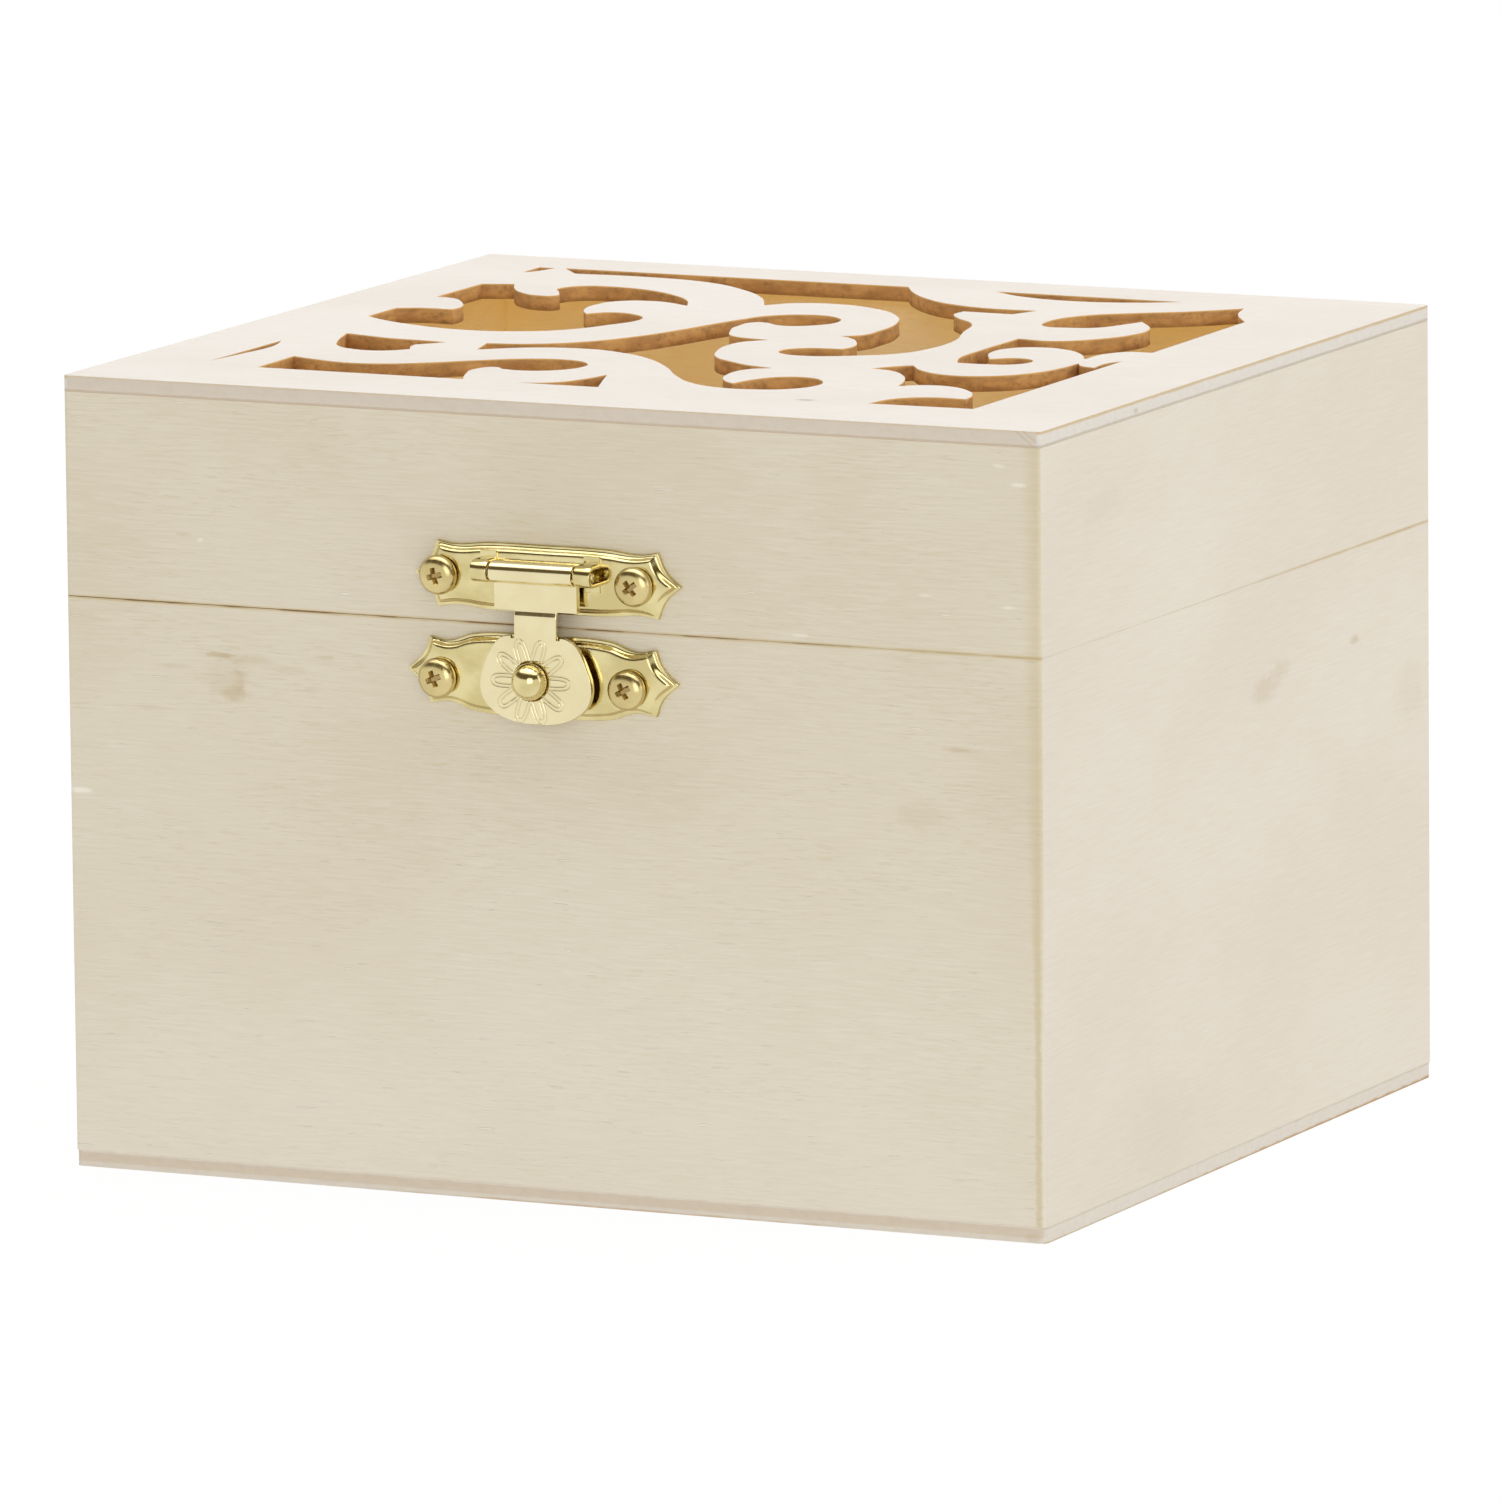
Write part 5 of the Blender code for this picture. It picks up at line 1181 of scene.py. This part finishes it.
def plate_rings():
    """(inset, height) of each ring of a pressed plate's front, from its rim to its flat middle."""
    turned = PLATE_ARRIS * PLATE_ARRIS_SHARE
    rings = [
        (0.0, CLASP_SHEET - PLATE_ARRIS), (turned, CLASP_SHEET - turned), (PLATE_ARRIS, CLASP_SHEET),
        (PLATE_FLANGE, CLASP_SHEET),
    ]
    for step in range(1, SLOPE_RINGS + 1):
        share = step / SLOPE_RINGS
        eased = share * share * (3 - 2 * share)
        rings.append((PLATE_FLANGE + share * PLATE_SLOPE, CLASP_SHEET + eased * PLATE_RAISE))
    for step in range(1, CROWN_RINGS + 1):
        share = step / CROWN_RINGS
        inset = PLATE_FLANGE + PLATE_SLOPE + share * PLATE_CROWN_WIDTH
        rings.append((inset, CLASP_SHEET + PLATE_RAISE + PLATE_CROWN * (1 - (1 - share) ** 2)))
    return rings


def pressed_plate(shares, half_length, half_height):
    """A pressed plate drawn flat: a flange, a slope, a crowned border and a flat middle, hollow behind."""
    points = outline_points(plate_outline(shares, half_length, half_height), PLATE_CURVE_STEPS)
    front = plate_rings()
    back = [(inset, max(0.0, height - CLASP_SHEET)) for inset, height in front]
    bm = bmesh.new()
    rings = []
    for inset, height in list(reversed(back)) + front:
        along, up = 1 - inset / half_length, 1 - inset / half_height
        rings.append([bm.verts.new((point.x * along, point.y * up, height)) for point in points])
    for before, ring in zip(rings, rings[1:]):
        for i in range(len(ring)):
            bm.faces.new((before[i - 1], before[i], ring[i], ring[i - 1]))
    bm.faces.new(rings[0])
    bm.faces.new(rings[-1])
    closed(bm)
    return bm


def strap_mesh(pin_up, centre_x):
    """One strap of the upper plate: a foot, a loop round the pin and another foot."""
    half = STRAP_WIDTH / 2
    face_out = CLASP_SHEET + PLATE_RAISE + PLATE_CROWN
    foot_out = face_out - STRAP_SHEET / 2 + STRAP_FOOT_STAND
    loop_radius = BARREL_RADIUS - STRAP_SHEET / 2
    stand = PIN_OUT - foot_out - STRAP_BEND_RADIUS
    quarter = math.radians(90)
    moves = [
        (STRAP_FOOT, 0.0), (STRAP_BEND_RADIUS * quarter, -quarter), (stand, 0.0),
        (loop_radius * 2 * quarter, 2 * quarter), (stand, 0.0), (STRAP_BEND_RADIUS * quarter, -quarter),
        (STRAP_FOOT, 0.0),
    ]
    start_up = pin_up - loop_radius - STRAP_BEND_RADIUS - STRAP_FOOT
    line = bent_line((foot_out, start_up), quarter, moves)
    length = sum(run for run, _ in moves)
    outline = [(-half, 0.0, CORNER), (half, 0.0, CORNER), (half, length, CORNER), (-half, length, CORNER)]
    bm = cut_sheet([outline], STRAP_SHEET, 1, STRAP_ARRIS)
    bend_sheet(bm, line, STRAP_SHEET)
    bmesh.ops.translate(bm, vec=(centre_x, 0, 0), verts=bm.verts)
    return mesh_from("strap", bm)


def make_clasp_plate(level, shares, body):
    """The upper plate with the straps for the pin, or the lower plate."""
    node = f"clasp_{level}_plate"
    low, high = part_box(node)
    half_length, half_height = (high.x - low.x) / 2, (high.z - low.z) / 2
    middle_x, middle_z = (low.x + high.x) / 2, (low.z + high.z) / 2
    bm = pressed_plate(shares, half_length, half_height)
    if level == "upper":
        for side in (-1, 1):
            centre_x = PIN_X - middle_x + side * (FLAP_WIDTH / 2 + STRAP_GAP + STRAP_WIDTH / 2)
            put_in(bm, strap_mesh(PIN_Z - middle_z, centre_x))
    mesh = smooth_all_but(mesh_from(f"{level}_plate_pressing", bm), never)
    mesh.transform(ON_FRONT @ Matrix.Translation((middle_x, middle_z, 0)))
    mesh = steadied(mesh)
    add_piece(f"{level}_plate_pressing", mesh, body, [node], [PLATE_BRASS])


def hasp_moves():
    """Moves along the hasp's sheet, up from the paddle's foot.

    They are a small step back to the flap, a crease out to the barrel's underside, and the roll round the
    pin.
    """
    roll_radius = BARREL_RADIUS - CLASP_SHEET / 2
    bend = STEP_BEND_RADIUS * STEP_TURN
    slope = (STEP_BACK - 2 * STEP_BEND_RADIUS * (1 - math.cos(STEP_TURN))) / math.sin(STEP_TURN)
    step_up = 2 * STEP_BEND_RADIUS * math.sin(STEP_TURN) + slope * math.cos(STEP_TURN)
    flap_out = PADDLE_OUT - STEP_BACK
    crease_turn = math.acos((flap_out - PIN_OUT + CREASE_RADIUS) / (roll_radius + CREASE_RADIUS))
    flap_top_z = PIN_Z - (roll_radius + CREASE_RADIUS) * math.sin(crease_turn)
    roll_turn = BARREL_END_TURN + crease_turn
    return [
        (FLAP_FOOT_Z - HASP_LOW.z - step_up, 0.0), (bend, STEP_TURN), (slope, 0.0), (bend, -STEP_TURN),
        (flap_top_z - FLAP_FOOT_Z, 0.0), (CREASE_RADIUS * crease_turn, -crease_turn),
        (roll_radius * roll_turn, roll_turn),
    ]


def hasp_outline(flap_start, flap_top, end):
    """Paddle, neck, flap and the strip that rolls round the pin, with y along the sheet from its foot."""
    half = [(x * PADDLE_WIDTH / 2, y * PADDLE_LENGTH, kind) for x, y, kind in PADDLE_HALF_SHARES]
    neck, flap = NECK_WIDTH / 2, FLAP_WIDTH / 2
    shoulder_x, shoulder_y, _ = half[-1]
    half += [
        (shoulder_x, shoulder_y - NECK_NOTCH, CORNER), (neck, shoulder_y - NECK_NOTCH, CORNER),
        (neck, flap_start, CORNER), (flap, flap_start, CORNER), (flap, flap_top - RIM_RUN / 2, CORNER),
        (flap, end, CORNER),
    ]
    return half + [(-x, y, kind) for x, y, kind in reversed(half[1:])]


def turn_rims_back(bm, flap_start, flap_top):
    """Draws the back of the paddle's rim and of the flap's side edges toward the plates, hollow between."""
    shoulder_y = PADDLE_LENGTH * PADDLE_HALF_SHARES[-1][1]
    hole_place = Vector((KNOB_X - PIN_X, KNOB_Z - HASP_LOW.z))
    flap_edge = FLAP_WIDTH / 2 - 2 * HASP_ARRIS
    for vertex in bm.verts:
        x, y, z = vertex.co
        on_hole = (vertex.co.to_2d() - hole_place).length < KNOB_HOLE_RADIUS * HOLE_MARGIN_SHARE
        if z > CLASP_SHEET / 2 or on_hole:
            continue
        share = 0.0
        if y < shoulder_y:
            share = min(1.0, (shoulder_y - y) / RIM_RUN)
        elif flap_start - WELD_DISTANCE < y < flap_top - HASP_ARRIS and abs(x) > flap_edge:
            share = 1.0
        vertex.co.z -= RIM_DEPTH * share


def make_hasp():
    """One sheet, cut to its outline with the knob's hole and its rims turned back, then bent."""
    moves = hasp_moves()
    line = bent_line((PADDLE_OUT, HASP_LOW.z), math.radians(90), moves)
    flap_start = sum(length for length, _ in moves[:4])
    flap_top = sum(length for length, _ in moves[:5])
    end = sum(length for length, _ in moves)
    hole = circle_outline(KNOB_X - PIN_X, KNOB_Z - HASP_LOW.z, KNOB_HOLE_RADIUS)
    outline = hasp_outline(flap_start, flap_top, end)
    bm = cut_sheet([outline, hole], CLASP_SHEET, SHEET_CURVE_STEPS, HASP_ARRIS)
    turn_rims_back(bm, flap_start, flap_top)
    bend_sheet(bm, line, CLASP_SHEET)
    mesh = smooth_all_but(mesh_from("hasp_sheet", bm), never)
    mesh.transform(ON_FRONT @ Matrix.Translation((PIN_X, 0, 0)))
    mesh = steadied(mesh)
    add_piece("hasp_sheet", mesh, "hasp", ["clasp_hasp"], [ENGRAVED_BRASS])


def make_knob():
    """A ball on a stem with a small flange on the lower plate."""
    flange_out = CLASP_SHEET + PLATE_RAISE + PLATE_CROWN
    flange = KNOB_RADIUS * KNOB_FLANGE_SHARE
    turns = [math.pi * row / KNOB_ROWS for row in range(KNOB_ROWS)]
    ball = [(KNOB_RADIUS * math.sin(turn), KNOB_OUT + KNOB_RADIUS * math.cos(turn)) for turn in turns]
    neck_out = flange_out + CLASP_SHEET / 2
    section = [point for point in ball if point[1] > neck_out + CLASP_SHEET / 4]
    section += [
        (flange * KNOB_SHOULDER_SHARE, neck_out), (flange, neck_out - PLATE_ARRIS), (flange, flange_out),
        (0, flange_out),
    ]
    mesh = turned_mesh("catch_knob", section, KNOB_STEPS)
    mesh.transform(ON_FRONT @ Matrix.Translation((KNOB_X, KNOB_Z, 0)))
    add_piece("catch_knob", mesh, "base", ["clasp_catch_knob"], [PLATE_BRASS])


def pin_mesh(name, radius, half_length):
    """A pin with domed ends along x."""
    dome = radius / 2
    end = (radius * PIN_END_SHARE, half_length - dome * PIN_DOME_SHARE)
    section = [(0, half_length), end, (radius, half_length - dome)]
    section += [(across, -along) for across, along in reversed(section)]
    mesh = turned_mesh(name, section, PIN_STEPS)
    mesh.transform(Matrix.Rotation(math.radians(90), 4, "Y"))
    return mesh


def make_clasp_pin():
    mesh = pin_mesh("hasp_pin", PIN_RADIUS, (PIN_HIGH.x - PIN_LOW.x) / 2)
    mesh.transform(Matrix.Translation((PIN_X, FRONT_Y - PIN_OUT, PIN_Z)))
    add_piece("hasp_pin", mesh, "lid", ["clasp_pin"], [PLATE_BRASS])


# Pieces of the hinges
def leaf_pattern(own, half_width, start):
    """A hinge leaf before it is bent: its middle line, its plate's outline, its tabs and its whole length."""
    knuckle = (2 * half_width - (KNUCKLE_COUNT - 1) * KNUCKLE_GAP) / KNUCKLE_COUNT
    roll_radius = KNUCKLE_RADIUS - LEAF_SHEET / 2
    leaf_length = start + LEAF_HEIGHT
    roll = roll_radius * KNUCKLE_TURN
    moves = [(leaf_length, 0.0), (roll, -KNUCKLE_TURN)]
    line = bent_line((-roll_radius, -leaf_length), math.radians(90), moves)
    corner = LEAF_CORNER_RADIUS
    plate = [
        (half_width, LEAF_HEIGHT, CORNER), (-half_width, LEAF_HEIGHT, CORNER), (-half_width, corner, CORNER),
        (corner - half_width, 0.0, CORNER), (half_width - corner, 0.0, CORNER), (half_width, corner, CORNER),
    ]
    tabs = []
    for index in range(KNUCKLE_COUNT):
        if (index % 2 == 0) == (own == "lower"):
            low = -half_width + index * (knuckle + KNUCKLE_GAP)
            tabs.append((low, low + knuckle))
    return line, plate, tabs, leaf_length + roll


def make_leaf(side, own, body):
    """A leaf on the back of the box; the upper one is the lower one turned over, with the middle knuckle."""
    node = f"hinge_{side}_{own}_leaf"
    pin_low, pin_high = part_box(f"hinge_{side}_pin")
    pin = (pin_low + pin_high) / 2
    half_width = (pin_high.x - pin_low.x) / 2
    low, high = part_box(node)
    reach = pin.z - low.z if own == "lower" else high.z - pin.z
    line, plate, tabs, end = leaf_pattern(own, half_width, reach - LEAF_HEIGHT)
    top = plate[:1]
    for low_x, high_x in reversed(tabs):
        tab = ((high_x, LEAF_HEIGHT), (high_x, end), (low_x, end), (low_x, LEAF_HEIGHT))
        top += [(x, y, CORNER) for x, y in tab]
    outline = drop_doubles(top + plate[1:])
    bm = cut_sheet([outline], LEAF_SHEET, 1, LEAF_ARRIS)
    bend_sheet(bm, line, LEAF_SHEET)
    mesh = mesh_from(f"{side}_hinge_{own}_leaf", bm)
    if own == "upper":
        mesh.transform(Matrix.Diagonal((1, -1, 1, 1)))
        mesh.flip_normals()
    smooth_all_but(mesh, never)
    mesh.transform(ON_BACK @ Matrix.Translation((-pin.x, pin.z, pin.y - BACK_Y)))
    mesh = steadied(mesh)
    add_piece(f"{side}_hinge_{own}_sheet", mesh, body, [node], [PLATE_BRASS])


def drop_doubles(points):
    """The outline without points that fall on the one before."""
    kept = []
    for point in points:
        if not kept or math.dist(point[:2], kept[-1][:2]) > WELD_DISTANCE:
            kept.append(point)
    if math.dist(kept[0][:2], kept[-1][:2]) <= WELD_DISTANCE:
        kept.pop()
    return kept


def make_hinge(side):
    make_leaf(side, "lower", "base")
    make_leaf(side, "upper", "lid")
    low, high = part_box(f"hinge_{side}_pin")
    mesh = pin_mesh(f"{side}_hinge_rod", (high.z - low.z) / 2, (high.x - low.x) / 2)
    mesh.transform(Matrix.Translation((low + high) / 2))
    add_piece(f"{side}_hinge_rod", mesh, "base", [f"hinge_{side}_pin"], [PLATE_BRASS])


# Rows of screws
def cross_mesh():
    """The cutter of a screw's cross recess: a square with an arm drawn out of each side."""
    floor, top = CROSS_FLOOR, 1 + CROSS_ARM
    bm = bmesh.new()
    bmesh.ops.create_cube(bm, size=1)
    bmesh.ops.scale(bm, vec=(2 * CROSS_HALF_WIDTH, 2 * CROSS_HALF_WIDTH, top - floor), verts=bm.verts)
    sides = [face for face in bm.faces if abs(face.normal.z) < FACING]
    for face in bmesh.ops.extrude_discrete_faces(bm, faces=sides)["faces"]:
        bmesh.ops.translate(bm, vec=face.normal * (CROSS_ARM - CROSS_HALF_WIDTH), verts=face.verts)
    for vertex in bm.verts:
        if vertex.co.z < 0:
            vertex.co.xy *= CROSS_TAPER
    bmesh.ops.translate(bm, vec=(0, 0, (top + floor) / 2), verts=bm.verts)
    return mesh_from("cross", bm)


def make_unit_screw():
    """A screw with a head of radius and height 1, which the screw rows scale."""
    blank = put_in_scene("unit_screw", turned_mesh("unit_screw", SCREW_SECTION, SCREW_STEPS))
    cutter = put_in_scene("cross_cutter", cross_mesh())
    cut = blank.modifiers.new("recess", "BOOLEAN")
    cut.operation = "DIFFERENCE"
    cut.object = cutter
    soft = blank.modifiers.new("softened", "BEVEL")
    soft.width = CROSS_SOFTENING
    soft.segments = CROSS_SOFTENING_STEPS
    soft.limit_method = "ANGLE"
    soft.angle_limit = CROSS_EDGE_ANGLE
    mesh = mesh_as_shown(blank)
    bpy.data.objects.remove(cutter)
    recess = mesh.attributes.new("recess", "FLOAT", "POINT")
    for vertex in mesh.vertices:
        reach = math.hypot(vertex.co.x, vertex.co.y)
        sunk = RECESS_FLOOR < vertex.co.z < dome_height(reach) - RECESS_DEPTH
        recess.data[vertex.index].value = 1.0 if sunk and reach < RECESS_REACH else 0.0
    mesh.set_sharp_from_angle(angle=SMOOTH_ANGLE)
    return put_in_scene("unit_screw", mesh)


def dome_height(reach):
    """Height of the screw head's dome at a distance from its middle."""
    for (near, high), (far, low) in zip(SCREW_SECTION, SCREW_SECTION[1:]):
        if near <= reach <= far:
            return high + (low - high) * (reach - near) / (far - near)
    return 0.0


def make_screw_row_tree():
    """Screws stood on points: turned by each point's own angle, scaled to their head, leaning a little."""
    tree = bpy.data.node_groups.new("screw_row", "GeometryNodeTree")
    sockets = (
        ("Seats", "NodeSocketGeometry"), ("Screw", "NodeSocketObject"), ("Head Radius", FLOAT),
        ("Head Height", FLOAT), ("Lean", FLOAT), ("Seed", "NodeSocketInt"), ("Finish", "NodeSocketMaterial"),
    )
    for label, kind in sockets:
        tree.interface.new_socket(label, in_out="INPUT", socket_type=kind)
    tree.interface.new_socket("Screws", in_out="OUTPUT", socket_type="NodeSocketGeometry")
    given = tree.nodes.new("NodeGroupInput").outputs
    screw = add_node(tree, "GeometryNodeObjectInfo", {"Object": given["Screw"], "As Instance": True})
    turn = add_node(tree, "GeometryNodeInputNamedAttribute", {"Name": "turn"}, data_type="FLOAT")
    against = maths(tree, "MULTIPLY", given["Lean"], -1.0)
    leans = []
    for offset in (0.0, 1.0):
        limits = {2: against, 3: given["Lean"], "Seed": maths(tree, "ADD", given["Seed"], offset)}
        leans.append(add_node(tree, "FunctionNodeRandomValue", limits, data_type="FLOAT").outputs[1])
    euler = joined(tree, *leans, turn.outputs["Attribute"])
    rotation = add_node(tree, "FunctionNodeEulerToRotation", {"Euler": euler}).outputs[0]
    size = joined(tree, given["Head Radius"], given["Head Radius"], given["Head Height"])
    stand = {
        "Points": given["Seats"], "Instance": screw.outputs["Geometry"], "Rotation": rotation, "Scale": size,
    }
    placed = add_node(tree, "GeometryNodeInstanceOnPoints", stand)
    real = add_node(tree, "GeometryNodeRealizeInstances", {"Geometry": placed.outputs[0]})
    coat = {"Geometry": real.outputs[0], "Material": given["Finish"]}
    painted = add_node(tree, "GeometryNodeSetMaterial", coat)
    result = tree.nodes.new("NodeGroupOutput")
    tree.links.new(painted.outputs[0], result.inputs["Screws"])
    return tree


def make_screw_row(name, body, nodes, seats, onto, head, screw, tree, seed):
    """seats: (x, y, z, turn) drawn flat; onto is the matrix of the face that they stand on."""
    mesh = bpy.data.meshes.new(name)
    mesh.from_pydata([seat[:3] for seat in seats], [], [])
    turns = mesh.attributes.new("turn", "FLOAT", "POINT")
    for point, seat in zip(turns.data, seats):
        point.value = seat[3]
    host = put_in_scene(f"{name}_seats", mesh)
    row = host.modifiers.new("screws", "NODES")
    row.node_group = tree
    values = {
        "Screw": screw, "Head Radius": head[0], "Head Height": head[1], "Lean": SCREW_LEAN, "Seed": seed,
        "Finish": SCREW_BRASS,
    }
    for item in tree.interface.items_tree:
        if item.in_out == "INPUT" and item.name in values:
            row[item.identifier] = values[item.name]
    made = mesh_as_shown(host)
    made.transform(onto)
    add_piece(name, made, body, nodes)


def screw_seats(nodes, turns, out, side):
    """Each screw's (x, y, z, turn), in the middle of its solid; side is 1, or -1 seen from behind."""
    seats = []
    for node, turn in zip(nodes, turns):
        low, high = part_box(node)
        seats.append((side * (low.x + high.x) / 2, (low.z + high.z) / 2, out, math.radians(turn)))
    return seats


def make_screws():
    """A row for the clasp and one for the hinges, on the lid and on the base, each screw at its own turn."""
    screw = make_unit_screw()
    tree = make_screw_row_tree()
    rows = (("upper", "lid", (14, 38)), ("lower", "base", (22, 30)))
    for seed, (level, body, turns) in enumerate(rows):
        name = f"{body}_clasp_screws"
        nodes = [f"clasp_{level}_{side}_screw" for side in ("left", "right")]
        seats = screw_seats(nodes, turns, CLASP_SCREW_SEAT, 1)
        make_screw_row(name, body, nodes, seats, ON_FRONT, CLASP_SCREW_HEAD, screw, tree, seed)
    rows = (("upper", "lid", (10, 55, 71, 33)), ("lower", "base", (48, 5, 27, 80)))
    for seed, (own, body, turns) in enumerate(rows, start=2):
        name = f"{body}_hinge_screws"
        nodes = [f"hinge_{side}_{own}_leaf_screw_{letter}" for side in ("left", "right") for letter in "ab"]
        seats = screw_seats(nodes, turns, LEAF_SHEET, -1)
        make_screw_row(name, body, nodes, seats, ON_BACK, LEAF_SCREW_HEAD, screw, tree, seed)
    bpy.data.objects.remove(screw)


# The whole box
make_bottom()
make_walls("base", UNDER_HIGH.z, SEAM_Z)
make_walls("lid", SEAM_Z, TOP_UNDERSIDE_Z)
make_fretwork()
make_clasp_plate("upper", UPPER_PLATE_SHARES, "lid")
make_clasp_plate("lower", LOWER_PLATE_SHARES, "base")
make_hasp()
make_knob()
make_clasp_pin()
make_hinge("left")
make_hinge("right")
make_screws()


# The studio
FLOOR_SIZE = 8.0
BACKGROUND_SHARE = 0.93
BACKGROUND_GLOW = 1.02
FLOOR_GLOW_SHARE = 0.80
WORLD_STRENGTH = 0.52
LIGHT_BOUNCES = 24
WALL_FOOT = (0.26, 0.42)
WALL_HEAD = (0.50, 0.68)
CEILING_LEAN = 0.5
CEILING_LOWEST = (0.58, 0.78)
MIRRORED_WALL = (0.13, 0.10, 0.05, 1.0)
MIRRORED_CEILING = (2.0, 2.0, 2.0, 1.0)
CAMERA_PLACE = (0.7830, -1.6466, 0.3466)
CAMERA_TURN = (80.5417, 0.5718, 25.3668)
CAMERA_LENS = 390.13
CAMERA_SENSOR = 36.0
WHITE = (1.0, 1.0, 1.0, 1.0)
FLOOR_GREY = (0.85, 0.85, 0.85, 1.0)
LAMP_AIM = (0.0, 0.0, 0.05)

# Each lamp's place, width and power
LAMPS = {
    "overhead": ((0.05, 0.15, 1.20), 1.0, 6.0),
    "front_fill": ((0.70, -1.50, 0.46), 0.9, 4.5),
    "right_hand": ((1.45, 0.25, 0.60), 0.9, 4.0),
    "back_fill": ((-0.90, 1.40, 0.50), 0.9, 3.5),
}


def seen_or_mirrored(tree):
    """1 for rays from the camera and for those in reflections and through glass."""
    rays = tree.nodes.new("ShaderNodeLightPath").outputs
    either = maths(tree, "MAXIMUM", rays["Is Camera Ray"], rays["Is Glossy Ray"])
    return maths(tree, "MAXIMUM", either, rays["Is Transmission Ray"])


def make_floor():
    """A white floor that keeps a light shadow where it is seen."""
    bm = bmesh.new()
    bmesh.ops.create_grid(bm, x_segments=1, y_segments=1, size=FLOOR_SIZE / 2)
    floor = put_in_scene("floor", mesh_from("floor", bm))
    finish = bpy.data.materials.new("white_floor")
    finish.use_nodes = True
    tree = finish.node_tree
    tree.nodes.clear()
    matt = add_node(tree, "ShaderNodeBsdfDiffuse", {"Color": FLOOR_GREY})
    glow = add_node(tree, "ShaderNodeEmission", {"Color": WHITE, "Strength": BACKGROUND_GLOW})
    share = maths(tree, "MULTIPLY", seen_or_mirrored(tree), BACKGROUND_SHARE)
    share = maths(tree, "MAXIMUM", share, FLOOR_GLOW_SHARE)
    mixed = add_node(tree, "ShaderNodeMixShader", {0: share, 1: matt.outputs[0], 2: glow.outputs[0]})
    add_node(tree, "ShaderNodeOutputMaterial", {"Surface": mixed.outputs[0]})
    floor.data.materials.append(finish)


def make_world():
    """Even light with a white background.

    Bright metal sees a white floor, dim warm walls and a bright ceiling that leans back.
    """
    world = bpy.data.worlds.new("studio")
    world.use_nodes = True
    tree = world.node_tree
    tree.nodes.clear()
    direction = tree.nodes.new("ShaderNodeTexCoord").outputs["Generated"]
    parts = parts_of(tree, direction)
    overhead = maths(tree, "MULTIPLY_ADD", parts[1], CEILING_LEAN, parts[2])
    mirrored = tint(tree, spread(tree, parts[2], *WALL_FOOT), WHITE, MIRRORED_WALL)
    ceiling = maths(
        tree, "MULTIPLY", spread(tree, overhead, *WALL_HEAD), spread(tree, parts[2], *CEILING_LOWEST)
    )
    mirrored = tint(tree, ceiling, mirrored, MIRRORED_CEILING)
    rays = tree.nodes.new("ShaderNodeLightPath").outputs
    even = spread(tree, seen_or_mirrored(tree), 0.0, 1.0, WORLD_STRENGTH, 1.0)
    colour = tint(tree, rays["Is Glossy Ray"], even, mirrored)
    light = add_node(tree, "ShaderNodeBackground", {"Color": colour, "Strength": 1.0})
    add_node(tree, "ShaderNodeOutputWorld", {"Surface": light.outputs[0]})
    bpy.context.scene.world = world


def make_lights():
    """Square lamps that look at a place near the middle of the box."""
    for name, (place, width, power) in LAMPS.items():
        lamp = bpy.data.lights.new(name, "AREA")
        lamp.shape = "RECTANGLE"
        lamp.size = width
        lamp.size_y = width
        lamp.energy = power
        holder = put_in_scene(name, lamp)
        holder.location = place
        holder.rotation_euler = (Vector(LAMP_AIM) - Vector(place)).to_track_quat("-Z", "Y").to_euler()


def make_camera():
    camera = put_in_scene("camera", bpy.data.cameras.new("camera"))
    camera.location = CAMERA_PLACE
    camera.rotation_euler = [math.radians(turn) for turn in CAMERA_TURN]
    camera.data.lens = CAMERA_LENS
    camera.data.sensor_width = CAMERA_SENSOR
    bpy.context.scene.camera = camera


make_floor()
make_world()
make_lights()
make_camera()
bpy.context.scene.view_settings.view_transform = "Standard"
bpy.context.scene.cycles.max_bounces = LIGHT_BOUNCES
bpy.context.scene.cycles.diffuse_bounces = LIGHT_BOUNCES
bpy.context.scene.cycles.glossy_bounces = LIGHT_BOUNCES
